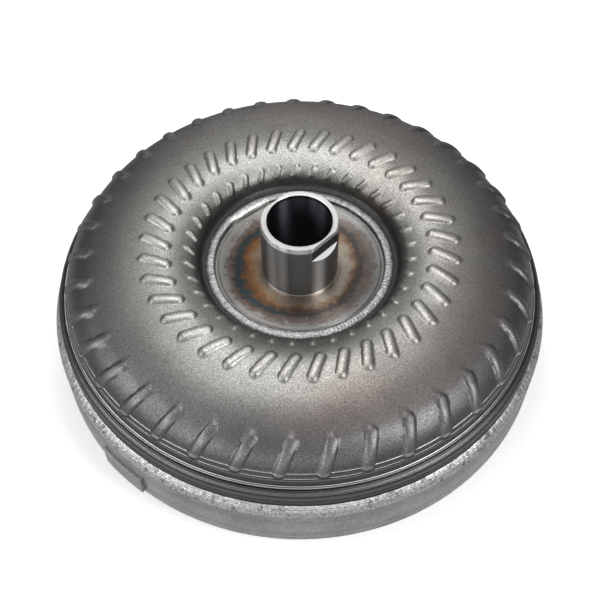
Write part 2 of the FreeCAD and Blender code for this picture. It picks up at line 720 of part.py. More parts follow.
def make_driven_ring():
    """Ring welded under the turbine shell, with a sector between every two springs."""
    inner_r, outer_r = DRIVEN_RING_R
    bottom, top = DRIVEN_Z
    hand_over = 180 - TURBINE_BOTTOM_TILT
    outer_tilt = 180 - math.degrees(
        math.asin((outer_r - TURBINE_SHOULDER[0]) / TURBINE_SHOULDER_ARC))
    inner_tilt = 180 - math.degrees(
        math.asin((inner_r - TURBINE_BOTTOM_CENTRE[0]) / TURBINE_BOTTOM_ARC))
    base = turned(
        (inner_r, bottom),
        (outer_r, bottom),
        on_arc(TURBINE_SHOULDER, TURBINE_SHOULDER_ARC, outer_tilt),
        arc_step(TURBINE_SHOULDER, TURBINE_SHOULDER_ARC, outer_tilt, hand_over),
        arc_step(TURBINE_BOTTOM_CENTRE, TURBINE_BOTTOM_ARC, hand_over, inner_tilt),
    )
    blade = sector(outer_r - 0.5, DRIVEN_TIP_R, bottom, top, STOP_HALF_ANGLE)
    save("damper_driven_ring", base.fuse(around(blade, SPRINGS, FULL_TURN / SPRINGS / 2)))


# ---- Stator and freewheel -----------------------------------------------------------------

def stator_blade():
    """Cast blade, round at its nose and thin at its tail, standing out along the radius."""
    low = MID_Z - STATOR_HALF_HEIGHT
    high = MID_Z + STATOR_HALF_HEIGHT

    def at(y, z):
        return Vector(STATOR_HUB_R - 1.5, y, z)

    tail = (5.2, high)
    upper = Part.Arc(at(-4.6, low + 1.2), at(-0.6, MID_Z + 1.2), at(tail[0] - 0.5, tail[1])).toShape()
    lower = Part.Arc(at(tail[0] + 0.5, tail[1] - 0.4), at(1.7, MID_Z - 2.0), at(-1.6, low)).toShape()
    nose = Part.Arc(at(-1.6, low), at(-3.8, low - 0.6), at(-4.6, low + 1.2)).toShape()
    end = Part.LineSegment(at(tail[0] - 0.5, tail[1]), at(tail[0] + 0.5, tail[1] - 0.4)).toShape()
    face = Part.Face(Part.Wire([upper, end, lower, nose]))
    return face.extrude(Vector(STATOR_TIP_R + 0.5 - STATOR_HUB_R + 1.5, 0, 0))


def make_stator_wheel():
    cap_bottom = FREEWHEEL_Z[0] - CAP_WALL
    top = FREEWHEEL_Z[1] + CAP_WALL
    hub = turned(
        (STATOR_BORE_R - 1.2, cap_bottom - 0.7),
        (STATOR_HUB_R - 2, cap_bottom - 0.7),
        (STATOR_HUB_R - 0.5, cap_bottom + 1.5),
        ((STATOR_HUB_R + 0.6, MID_Z), (STATOR_HUB_R - 0.5, top + 0.6)),
        (STATOR_HUB_R - 2, top + 1.8),
        (STATOR_BORE_R, top + 1.8),
        (STATOR_BORE_R, top + 1.0),
        (STATOR_BORE_R + 1.0, top + 1.0),
        (STATOR_BORE_R + 1.0, top),
        (STATOR_BORE_R, top),
        (STATOR_BORE_R, cap_bottom),
        (STATOR_BORE_R - 1.2, cap_bottom),
    )
    shroud = ring(STATOR_TIP_R, STATOR_RING_R, MID_Z - 6.5, MID_Z + 6.5)
    save("stator_wheel", hub.fuse([shroud] + around(stator_blade(), STATOR_BLADES)))

    cap_inner_r = INNER_RACE_R + 0.4
    save("stator_front_cap", ring(cap_inner_r, STATOR_BORE_R, cap_bottom, FREEWHEEL_Z[0]))
    save("stator_rear_cap", ring(cap_inner_r, STATOR_BORE_R, FREEWHEEL_Z[1], top))
    gap_half_angle = 8.0
    save("stator_snap_ring", sector(STATOR_BORE_R - 1.4, STATOR_BORE_R + 0.9, top, top + 1.0,
                                    180 - gap_half_angle))


def strip_leg(start, end, thickness, bottom, top):
    """One straight leg of a bent strip, between two (x, y) points, its ends slightly long."""
    run = math.dist(start, end)
    along = [(end[axis] - start[axis]) / run * thickness / 2 for axis in (0, 1)]
    side = (-along[1], along[0])
    return prism([
        (start[0] - along[0] + side[0], start[1] - along[1] + side[1]),
        (start[0] - along[0] - side[0], start[1] - along[1] - side[1]),
        (end[0] + along[0] - side[0], end[1] + along[1] - side[1]),
        (end[0] + along[0] + side[0], end[1] + along[1] + side[1]),
    ], bottom, top)


def make_freewheel():
    """Outer race with ramped pockets, a roller in each, and a bent strip spring behind it.

    The pockets narrow in the direction the engine turns, so the rollers wedge when the stator
    is pushed backwards and let go when it is carried forwards.
    """
    bottom, top = FREEWHEEL_Z
    outer = ring(INNER_RACE_R + 1.2, STATOR_BORE_R, bottom, top)
    ramp = [(30.15, 10.0), (30.6, 3.0), (31.1, -4.0), (31.6, -12.0)]
    pocket_plan = [(23.0, -12.0), (23.0, 10.0)] + ramp
    pocket = prism([flat_point(radius, azimuth) for radius, azimuth in pocket_plan],
                   bottom - 1, top + 1)
    save("freewheel_outer_race", outer.cut(around(pocket, ROLLERS)))

    roller_circle = INNER_RACE_R + ROLLER_R + RUNNING_GAP
    slack = 0.1
    roller = Part.makeCylinder(ROLLER_R, top - bottom - 2 * slack,
                               Vector(roller_circle, 0, bottom + slack), UP)
    save("freewheel_rollers", *around(roller, ROLLERS, 3.2))

    bends = [(25.8, -3.9), (29.6, -5.4), (25.8, -7.2), (29.6, -9.0), (26.0, -10.6)]
    corners = [flat_point(radius, azimuth) for radius, azimuth in bends]
    legs = [strip_leg(a, b, 0.3, bottom + 2, top - 2) for a, b in zip(corners, corners[1:])]
    spring = legs[0].fuse(legs[1:])
    save("freewheel_springs", *around(spring, ROLLERS))

    race = ring(13.5, INNER_RACE_R, bottom - CAP_WALL + 0.7, top + CAP_WALL - 0.7)
    spline = prism(star(12.5, 15.8, 24), bottom - 5, top + 5)
    save("freewheel_inner_race", race.cut(spline))


# ---- Needle thrust bearings ---------------------------------------------------------------

def make_thrust_bearing(name, bottom):
    inner_r, outer_r = BEARING_RADII
    top = bottom + BEARING_HEIGHT
    middle = bottom + BEARING_HEIGHT / 2
    save(name + "_lower_race", ring(inner_r, outer_r, bottom, bottom + BEARING_RACE))
    save(name + "_upper_race", ring(inner_r, outer_r, top - BEARING_RACE, top))

    needle_r = BEARING_HEIGHT / 2 - BEARING_RACE - RUNNING_GAP
    needle_length = outer_r - inner_r - 2.4
    start_r = inner_r + 1.2
    needle = Part.makeCylinder(needle_r, needle_length, Vector(start_r, 0, middle), Vector(1, 0, 0))
    save(name + "_needles", *around(needle, NEEDLES))

    cage_half = 0.65
    cage = ring(inner_r + 0.3, outer_r - 0.3, middle - cage_half, middle + cage_half)
    window = Part.makeBox(needle_length + 0.2, 2 * needle_r + 0.1, 4 * cage_half)
    window.translate(Vector(start_r - 0.1, -needle_r - 0.05, middle - 2 * cage_half))
    save(name + "_cage", cage.cut(around(window, NEEDLES)))


# ---- Build --------------------------------------------------------------------------------

os.makedirs("parts", exist_ok=True)

make_front_cover()
make_pilot()
make_drive_lugs()
make_balance_weight()
make_rim_weld()
make_impeller_shell()
make_impeller_blades()
make_impeller_hub()
make_hub_weld()

make_turbine_shell()
make_turbine_blades()
make_rivets(make_turbine_hub())

make_driven_ring()
make_spring_retainer()
make_damper_springs()
make_lockup_piston()

make_stator_wheel()
make_freewheel()

make_thrust_bearing("cover_bearing", COVER_BEARING_Z)
make_thrust_bearing("turbine_bearing", TURBINE_BEARING_Z)
make_thrust_bearing("impeller_bearing", IMPELLER_BEARING_Z)
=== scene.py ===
import json
import math

import bmesh
import bpy
import numpy as np
from mathutils import Matrix, Vector, noise


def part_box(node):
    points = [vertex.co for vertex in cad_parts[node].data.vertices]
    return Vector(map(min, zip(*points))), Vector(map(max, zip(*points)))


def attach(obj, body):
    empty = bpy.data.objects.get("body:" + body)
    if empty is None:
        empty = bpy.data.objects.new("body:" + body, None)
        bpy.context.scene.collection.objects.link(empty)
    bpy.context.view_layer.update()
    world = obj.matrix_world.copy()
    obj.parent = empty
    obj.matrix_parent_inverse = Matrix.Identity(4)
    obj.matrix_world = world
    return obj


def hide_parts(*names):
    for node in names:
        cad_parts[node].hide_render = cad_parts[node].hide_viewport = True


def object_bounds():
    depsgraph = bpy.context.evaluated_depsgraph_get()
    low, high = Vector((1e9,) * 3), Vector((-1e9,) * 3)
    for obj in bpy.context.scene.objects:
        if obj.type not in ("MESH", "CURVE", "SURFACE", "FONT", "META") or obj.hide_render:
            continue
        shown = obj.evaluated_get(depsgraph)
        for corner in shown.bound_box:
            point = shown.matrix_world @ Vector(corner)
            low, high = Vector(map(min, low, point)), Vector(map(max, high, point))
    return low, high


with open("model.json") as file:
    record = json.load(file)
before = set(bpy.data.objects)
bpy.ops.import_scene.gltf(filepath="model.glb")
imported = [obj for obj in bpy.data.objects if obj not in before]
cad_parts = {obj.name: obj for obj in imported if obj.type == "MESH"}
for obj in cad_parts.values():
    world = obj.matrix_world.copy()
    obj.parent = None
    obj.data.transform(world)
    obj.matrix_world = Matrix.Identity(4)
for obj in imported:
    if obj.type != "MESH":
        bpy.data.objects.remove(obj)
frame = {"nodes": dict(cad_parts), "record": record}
CAD_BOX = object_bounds()

# Looks of the torque converter: the outside pieces are rebuilt as fine meshes, the inside ones keep
# their CAD shape, and everything gets a procedural material.
# Sizes are in millimetres, as (radius, height) outlines round the Z axis, and angles in degrees.
# Only the studio and its lights are placed in metres.

MM = 0.001
FULL_TURN = 360.0

MOUNTS = {mount["name"]: mount for mount in frame["record"]["mounts"]}
SLOT_OF = {part["node"]: part["material_slot"] for part in frame["record"]["subparts"]}


def node_heights(node):
    """Lowest and highest point of a CAD node, in millimetres."""
    low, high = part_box(node)
    return low.z / MM, high.z / MM


# ---- Outlines ----

def polar(radius, azimuth, height):
    """Point in millimetres from its radius, azimuth and height."""
    angle = math.radians(azimuth)
    return Vector((radius * math.cos(angle), radius * math.sin(angle), height))


def on_arc(centre, radius, tilt):
    """Point of an arc, by its tilt in degrees from straight up, outwards positive."""
    angle = math.radians(tilt)
    return (centre[0] + radius * math.sin(angle), centre[1] + radius * math.cos(angle))


def arc_points(centre, radius, tilts):
    return [on_arc(centre, radius, tilt) for tilt in tilts]


# ---- Sizes ----

HUB_BOTTOM, HUB_TOP = node_heights("impeller_hub")
HUB_R = MOUNTS["pump_drive_hub"]["dims"]["r_mm"]
BORE_R = MOUNTS["hub_bore"]["dims"]["r_mm"]
HUB_BASE = 63.0                  # height where the tube stands on its flange
HUB_CHAMFER = (0.75, 2.7)        # width and height
FLAT_DISTANCE = 17.8             # from the axis to each flat
FLAT_DEPTH = 9.3                 # from the hub's top to the flats' lower end
FLAT_AZIMUTHS = (-45.0, 135.0)
FLAT_LEDGE_SLOPE = 0.85          # fall of the ledge under each flat, per unit outwards
FLANGE_R = 44.6
# Radius and height along the flange's dished top, and over its edge.
FLANGE_DISH = ((22.6, 63.2), (25.0, 63.35), (28.0, 63.62), (32.0, 64.1), (35.0, 64.62),
               (38.0, 65.25), (40.5, 65.85))
FLANGE_EDGE = ((42.5, 66.25), (FLANGE_R, 65.4))

SHELL_WALL = 3.2
SKIRT_BOTTOM = node_heights("impeller_shell")[0]
LIP_TOP = SKIRT_BOTTOM + 32.6    # face round the flange, where the hub weld lies
RIM_WELD_WIDTH = 4.0
SKIRT_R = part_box("rim_weld")[1].x / MM - RIM_WELD_WIDTH

# Arcs of the shell's section as (centre, radius); each meets its neighbour at a shared tilt.
CROWN_R = 76.0
CROWN_TOP = 82.3
CROWN_TILT = 20.0
INNER_TILT = 34.0
THROAT_TILT = 80.0
CROWN_CURVE = 95.0
SHOULDER_CURVE = 23.5
INNER_CURVE = 34.0
THROAT_CURVE = 9.0
CROWN = ((CROWN_R, CROWN_TOP - CROWN_CURVE), CROWN_CURVE)
SHOULDER = (on_arc(CROWN[0], CROWN_CURVE - SHOULDER_CURVE, CROWN_TILT), SHOULDER_CURVE)
INNER = ((CROWN_R, CROWN_TOP - INNER_CURVE), INNER_CURVE)
THROAT = (on_arc(INNER[0], INNER_CURVE - THROAT_CURVE, -INNER_TILT), THROAT_CURVE)
INNER_START_R = 57.0             # where the throat's arc hands over to the inner one
TROUGH_R = 50.6
TROUGH_FILLET = 2.5
STEP_Z = 56.4                    # the shoulder ends at a small step down to the turned rim
STEP_TILT = math.degrees(math.acos((STEP_Z - SHOULDER[0][1]) / SHOULDER[1]))
LEDGE_R = 125.1
SKIRT_SHOULDER = (128.15, 53.5)
SKIN_STEP = 1.9                  # tilt between rows of points on the shoulder

MARKS = 37                       # embossed marks in each ring
MARK_PITCH = FULL_TURN / MARKS
MARK_SPAN = 2.7                  # half the azimuth that a mark's fine columns cover
MARK_HEIGHT = 1.4
# For each ring: inner radius, outer radius, azimuth at each, half width, width of the steep flank,
# height, and the share of that height at the inner end.
MARK_RINGS = (
    (55.0, 58.4, -4.0, -6.1, 2.4, 2.2, 0.9, 1.0),
    (69.3, 80.1, -3.9, -8.1, 3.0, 0.95, MARK_HEIGHT, 1.0),
    (110.9, 121.9, -4.3, -7.1, 3.3, 1.0, MARK_HEIGHT, 0.65),
)
MARK_DOME = 0.6                  # share of a mark's height lost between its middle and its edge
MARK_RISE = 0.3                  # share of a mark's length over which it reaches full height
LINE_TILTS = (64.4, 71.7)        # two fine raised lines that run over the feet of the outer marks
LINE_HEIGHT = 0.2
LINE_HALF = 0.9                  # tilt from a line's crest to its foot
LINE_CLEAR = 2.2                 # tilt past a line where the even rows start again

COVER_R = 132.3
COVER_BOTTOM, COVER_TOP = node_heights("front_cover")
COVER_INSIDE = COVER_BOTTOM + 4.2
COVER_HOLE_R = 13.0
COVER_CORNER = 6.0
COVER_INNER_CORNER = 3.0

WEIGHT_BOTTOM, WEIGHT_TOP = node_heights("balance_weight")
WEIGHT_AZIMUTHS = (222.4, 234.0)
WEIGHT_THICKNESS = 2.2
WEIGHT_EDGE = 0.22               # rounding of its edges
DENT_AZIMUTHS = (226.0, 230.6)   # spot welds
DENT_RISE = 1.5                  # their height over the weight's middle
DENT_R = 1.4
DENT_DEPTH = 0.3

LUGS = MOUNTS["drive_lugs"]["dims"]["count"]
LUG_CIRCLE_R = MOUNTS["drive_lugs"]["dims"]["pcd_mm"] / 2
LUG_HOLE_R = MOUNTS["drive_lugs"]["dims"]["hole_r_mm"]
LUG_SIZE = (24.0, 34.0)          # radial and along the circle
LUG_CORNER = 5.0
LUG_WELD_LEG = 3.0
THREAD_PITCH = 1.5
THREAD_DEPTH = 0.45
THREAD_START = 1.2               # end of the hole's countersink

PILOT_R = MOUNTS["pilot"]["dims"]["r_mm"]
PILOT_END = node_heights("pilot_boss")[0]
PILOT_BORE_R = 9.5
PILOT_FOOT = (21.0, 7.0)         # radius, and height of its lower face
PILOT_WELD_LEG = COVER_BOTTOM - PILOT_FOOT[1]

# Hub weld: radii of its edges, height of its foot on the flange, and where its ends overlap.
HUB_WELD_RADII = (44.25, 49.15)
HUB_WELD_FOOT = 65.5
HUB_WELD_RISE = 0.95
BEAD_STOP = 128.0                # azimuth
BEAD_SPILL = 13.0                # half the azimuth over which the overlap spreads
RIM_WELD_HEIGHT = 5.0            # over the cover's top
# Drops of weld metal near the hub, as radius, azimuth and size.
SPATTER = (
    (49.7, 160.7, 0.42), (49.5, -177.6, 0.36), (39.6, 136.2, 0.5), (35.0, -84.0, 0.4),
    (57.8, -132.9, 0.45), (40.9, -176.0, 0.4), (40.8, -7.0, 0.36), (59.3, 175.0, 0.3),
    (31.0, -112.0, 0.3), (52.6, 112.0, 0.35), (53.4, 98.0, 0.3), (51.8, 67.0, 0.32),
    (47.2, 52.0, 0.3), (36.4, 158.0, 0.28), (62.0, 121.0, 0.3),
)


# ---- Meshes ----

def piece_from(name, points, faces, material, body, sharp=35.0):
    """Closed mesh piece from points in millimetres, smooth but for its sharp edges."""
    mesh = bpy.data.meshes.new(name)
    mesh.from_pydata((np.asarray(points, float) * MM).tolist(), [], faces)
    shape = bmesh.new()
    shape.from_mesh(mesh)
    bmesh.ops.remove_doubles(shape, verts=shape.verts, dist=0.002 * MM)
    bmesh.ops.recalc_face_normals(shape, faces=shape.faces)
    for face in shape.faces:
        face.smooth = True
    shape.to_mesh(mesh)
    shape.free()
    mesh.set_sharp_from_angle(angle=math.radians(sharp))
    mesh.materials.append(material)
    piece = bpy.data.objects.new(name, mesh)
    bpy.context.scene.collection.objects.link(piece)
    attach(piece, body)
    return piece


def loop_faces(rows, columns):
    """Quads of a grid that closes on itself in both directions."""
    faces = []
    for row in range(rows):
        above = (row + 1) % rows * columns
        here = row * columns
        for column in range(columns):
            beside = (column + 1) % columns
            faces.append((here + column, here + beside, above + beside, above + column))
    return faces


def turned_grid(radii, heights, azimuths):
    """Points of a turned grid; the arrays are broadcast to rows by columns."""
    radii, heights, azimuths = np.broadcast_arrays(radii, heights, azimuths)
    angles = np.radians(azimuths)
    grid = np.stack([radii * np.cos(angles), radii * np.sin(angles), heights], axis=-1)
    return grid.reshape(-1, 3)


def lathe(name, outline, material, body, segments=288, sharp=35.0):
    """Turned solid from a closed outline, which may end on the axis."""
    section = np.array(outline)
    azimuths = np.arange(segments) * FULL_TURN / segments
    points = turned_grid(section[:, :1], section[:, 1:], azimuths[None, :])
    faces = loop_faces(len(outline), segments)
    return piece_from(name, points, faces, material, body, sharp)


def smooth_step(share):
    share = np.clip(share, 0.0, 1.0)
    return share * share * (3 - 2 * share)


def wobble(azimuth, height, scale, seed):
    """Smooth noise from -1 to 1 round the axis, with no seam."""
    return noise.noise(polar(scale, azimuth, height + 17.0 * seed))


# ---- Shader helpers ----

NOISE_RANGE = (0.3, 0.7)         # most of a noise's values lie in it


def rgba(colour):
    """Colour with its alpha; a single number is a grey."""
    return (colour, colour, colour, 1.0) if isinstance(colour, float) else (*colour, 1.0)


def set_ramp(points, stops):
    """Give a colour ramp its stops, each a position and a colour."""
    while len(points) < len(stops):
        points.new(0.5)
    for point, (position, colour) in zip(points, stops):
        point.position = position
        point.color = rgba(colour)


class Shader:
    """A material with one Principled shader, and short calls for the nodes that feed it."""

    def __init__(self, name, metallic, **sockets):
        self.material = bpy.data.materials.new(name)
        self.material.use_nodes = True
        self.tree = self.material.node_tree
        self.surface = self.tree.nodes["Principled BSDF"]
        self.surface.inputs["Metallic"].default_value = metallic
        for label, value in sockets.items():
            self.surface.inputs[label.replace("_", " ")].default_value = value
        self.place = self.node("ShaderNodeTexCoord").outputs["Object"]
        self._parts = None

    def node(self, kind, inputs=None, **settings):
        made = self.tree.nodes.new(kind)
        for label, value in settings.items():
            setattr(made, label, value)
        for label, value in (inputs or {}).items():
            self.feed(made.inputs[label], value)
        return made

    def feed(self, socket, value):
        if isinstance(value, bpy.types.NodeSocket):
            self.tree.links.new(value, socket)
        else:
            socket.default_value = value

    def parts(self):
        """(radius, height, x, y) sockets of the shaded point, in metres."""
        if self._parts is None:
            split = self.node("ShaderNodeSeparateXYZ", {0: self.place}).outputs
            flat = self.node("ShaderNodeCombineXYZ", {0: split[0], 1: split[1]}).outputs[0]
            radius = self.node("ShaderNodeVectorMath", {0: flat}, operation="LENGTH").outputs["Value"]
            self._parts = (radius, split[2], split[0], split[1])
        return self._parts

    def towards(self, azimuth):
        """Distance from the axis in the direction of an azimuth."""
        x, y = self.parts()[2:]
        angle = math.radians(azimuth)
        return self.maths("ADD", self.both(x, math.cos(angle)), self.both(y, math.sin(angle)))

    def maths(self, operation, first, second):
        return self.node("ShaderNodeMath", {0: first, 1: second}, operation=operation).outputs[0]

    def both(self, first, second):
        return self.maths("MULTIPLY", first, second)

    def span(self, value, low, high, to_low=0.0, to_high=1.0):
        """Value mapped from one range to another, clamped."""
        inputs = {"Value": value, "From Min": low, "From Max": high,
                  "To Min": to_low, "To Max": to_high}
        return self.node("ShaderNodeMapRange", inputs).outputs[0]

    def past(self, place, start, full, most=1.0):
        """Share that grows from 0 at start to its most at full; both in millimetres."""
        return self.span(place, start * MM, full * MM, 0.0, most)

    def near(self, place, centre, reach):
        """1 where the place is within reach of the centre, in millimetres, and 0 elsewhere."""
        inputs = {0: place, 1: centre * MM, 2: reach * MM}
        return self.node("ShaderNodeMath", inputs, operation="COMPARE").outputs[0]

    def level(self, pattern, low, high):
        """Number that follows a noise from its dark to its bright parts."""
        return self.span(pattern, *NOISE_RANGE, low, high)

    def shades(self, pattern, dark, bright):
        """Colour that follows a noise from its dark to its bright parts."""
        return self.ramp(pattern, zip(NOISE_RANGE, (dark, bright)))

    def grain(self, scale, detail=2.0, rough=0.6, place=None, distortion=0.0):
        inputs = {"Vector": place or self.place, "Scale": scale, "Detail": detail,
                  "Roughness": rough, "Distortion": distortion}
        return self.node("ShaderNodeTexNoise", inputs).outputs["Fac"]

    def rings(self, scale, detail=3.0):
        """Noise that changes only with radius and height, as turning marks do."""
        radius, height = self.parts()[:2]
        place = self.node("ShaderNodeCombineXYZ", {0: radius, 1: height}).outputs[0]
        return self.grain(scale, detail, 0.7, place)

    def ramp(self, value, stops):
        made = self.node("ShaderNodeValToRGB", {0: value})
        set_ramp(made.color_ramp.elements, list(stops))
        return made.outputs[0]

    def mix(self, share, first, second, blend="MIX"):
        made = self.node("ShaderNodeMix", data_type="RGBA", blend_type=blend)
        self.feed(made.inputs[0], share)
        for socket, value in ((made.inputs[6], first), (made.inputs[7], second)):
            self.feed(socket, rgba(value) if isinstance(value, (float, tuple)) else value)
        return made.outputs[2]

    def tinted(self, colour, tint):
        return self.mix(1.0, colour, tint, "MULTIPLY")

    def bump(self, height, depth, strength=0.5, under=None):
        """Relief that follows a noise; its depth is in millimetres."""
        inputs = {"Height": height, "Distance": depth * MM, "Strength": strength}
        if under is not None:
            inputs["Normal"] = under
        return self.node("ShaderNodeBump", inputs).outputs[0]

    def brush(self):
        """Stretch the gloss across lines that run round the axis."""
        tangent = self.node("ShaderNodeTangent", direction_type="RADIAL", axis="Z").outputs[0]
        self.feed(self.surface.inputs["Tangent"], tangent)

    def finish(self, colour, roughness, normal=None):
        self.feed(self.surface.inputs["Base Color"], colour)
        self.feed(self.surface.inputs["Roughness"], roughness)
        if normal is not None:
            self.feed(self.surface.inputs["Normal"], normal)
        return self.material


# ---- Materials of the outside ----

# Sides of the shell with a brown heat haze: azimuth, and how far out it starts and is full.
WARM_SIDES = ((-58.0, 64.0, 90.0), (118.0, 66.0, 105.0), (28.0, 45.0, 75.0))
WARM_END = (112.0, 103.0)        # radii between which the haze fades out
RIM_START = (119.0, 119.5)       # radii between which the turned rim begins
# Light tone of the two raised lines: a painted highlight.
LINE_HIGHLIGHT_TONE = (0.72, 0.71, 0.69)
# Near black, for the trough and for the painted shade lines on the rim.
NEAR_BLACK_TONE = 0.02

# Heat colours from the tube (0) to the flange's edge (1), on its left and on its right.
HEAT_LEFT = (
    (0.0, (0.32, 0.27, 0.22)), (0.13, (0.28, 0.20, 0.135)), (0.27, (0.25, 0.125, 0.055)),
    (0.40, (0.12, 0.07, 0.045)), (0.48, (0.045, 0.07, 0.08)), (0.56, (0.055, 0.06, 0.06)),
    (0.64, (0.14, 0.10, 0.08)), (0.76, (0.19, 0.165, 0.15)), (0.80, (0.30, 0.29, 0.28)),
    (1.0, (0.35, 0.345, 0.33)),
)
HEAT_RIGHT = (
    (0.0, (0.44, 0.39, 0.33)), (0.22, (0.44, 0.40, 0.34)), (0.33, (0.30, 0.21, 0.15)),
    (0.45, (0.12, 0.085, 0.07)), (0.53, (0.09, 0.09, 0.095)), (0.62, (0.19, 0.15, 0.125)),
    (0.76, (0.22, 0.195, 0.18)), (0.80, (0.30, 0.29, 0.28)), (1.0, (0.33, 0.325, 0.32)),
)
HEAT_SPAN = (19.8, 44.5)         # radii
HEAT_RIGHT_AZIMUTH = -19.0


def blasted_sheet(steel, speckle):
    """Colour of the pressed sheet: grain, faint brown patches, darker oily outer part, a painted
    highlight on the marks' crests, and darker towards the trough.
    """
    radius = steel.parts()[0]
    colour = steel.ramp(speckle, ((0.28, (0.19, 0.185, 0.175)), (0.50, (0.33, 0.325, 0.31)),
                                  (0.74, (0.58, 0.575, 0.545))))
    colour = steel.tinted(colour, steel.shades(steel.grain(55.0, 4.0, 0.6), 0.84, 1.0))
    warm = steel.tinted(colour, (1.0, 0.84, 0.78))
    patch = steel.span(steel.grain(11.0, 3.0, 0.55, distortion=0.6), 0.38, 0.60)
    for azimuth, start, full in WARM_SIDES:
        share = steel.both(steel.past(steel.towards(azimuth), start, full, 0.62), patch)
        colour = steel.mix(steel.both(share, steel.past(radius, *WARM_END)), colour, warm)
    oily = steel.tinted(colour, (0.47, 0.465, 0.505))
    colour = steel.mix(steel.past(radius, 90.0, 115.0), colour, oily)
    # The marks are painted lighter the higher they stand: a painted highlight on their crests.
    crest = steel.node("ShaderNodeAttribute", attribute_name="crest").outputs["Fac"]
    painted_crest_highlight = steel.tinted(colour, (1.45, 1.44, 1.42))
    colour = steel.mix(steel.span(crest, 0.35, 0.75, 0.0, 0.8), colour, painted_crest_highlight)
    # Darker towards the trough, and nearly black in it.
    darker_to_trough = steel.tinted(colour, (0.36, 0.35, 0.35))
    colour = steel.mix(steel.past(radius, 57.0, 53.5), colour, darker_to_trough)
    return steel.mix(steel.past(radius, 53.2, 51.5, 0.8), colour, NEAR_BLACK_TONE)


def shell_steel():
    """Blasted, oiled sheet with a dark turned rim; its two raised lines and the step's edge are painted
    light as highlights, and two thin lines on the rim are painted dark as shade.
    """
    steel = Shader("shell_steel", 1.0)
    radius, height = steel.parts()[:2]
    speckle = steel.grain(1500.0, 2.0, 0.75)
    colour = blasted_sheet(steel, speckle)
    lines = steel.rings(1000.0, 5.0)
    dark = steel.ramp(lines, ((0.34, (0.045, 0.045, 0.05)), (0.5, (0.11, 0.105, 0.11)),
                              (0.66, (0.40, 0.395, 0.40))))
    dark = steel.tinted(dark, steel.shades(speckle, (0.62, 0.61, 0.60), (1.25, 1.23, 1.22)))
    line_heights = [on_arc(*SHOULDER, tilt)[1] for tilt in LINE_TILTS]
    outer = steel.past(radius, *RIM_START)
    rim = steel.both(steel.past(height, line_heights[0] + 0.25, line_heights[0] - 0.25), outer)
    colour = steel.mix(rim, colour, dark)
    # The two raised lines are painted light: painted highlights.
    for line_height in line_heights:
        line = steel.both(steel.near(height, line_height + 0.05, 0.13), outer)
        colour = steel.mix(line, colour, LINE_HIGHLIGHT_TONE)
    # A light line along the step's edge: a painted highlight.
    edge = steel.both(steel.near(height, STEP_Z - 0.05, 0.16), rim)
    colour = steel.mix(edge, colour, (0.60, 0.59, 0.58))
    # Two thin near-black lines on the rim, just above the rim weld and just under the step: painted
    # shade in the gaps.
    for middle, reach in ((COVER_TOP + 5.9, 0.55), (STEP_Z - 0.75, 0.3)):
        painted_gap_shade = steel.both(steel.near(height, middle, reach), rim)
        colour = steel.mix(painted_gap_shade, colour, NEAR_BLACK_TONE)
    rough = steel.mix(rim, steel.level(speckle, 0.52, 0.38), steel.level(lines, 0.50, 0.38))
    pits = steel.bump(speckle, 0.12)
    return steel.finish(colour, rough, steel.bump(steel.both(lines, rim), 0.2, 0.7, pits))


def heat_colours(steel, lines):
    """Colour of the flange: rings of straw, brown and blue with ragged borders."""
    drift = steel.span(steel.grain(70.0, 3.0), 0.25, 0.75, -0.09, 0.09)
    blotch = steel.level(steel.grain(260.0, 4.0, 0.7), -0.085, 0.085)
    place = steel.maths("ADD", drift, blotch)
    place = steel.maths("ADD", steel.past(steel.parts()[0], *HEAT_SPAN), place)
    side = steel.past(steel.towards(HEAT_RIGHT_AZIMUTH), -12.0, 25.0)
    tint = steel.mix(side, steel.ramp(place, HEAT_LEFT), steel.ramp(place, HEAT_RIGHT))
    return steel.tinted(tint, steel.shades(lines, 0.55, 1.25))


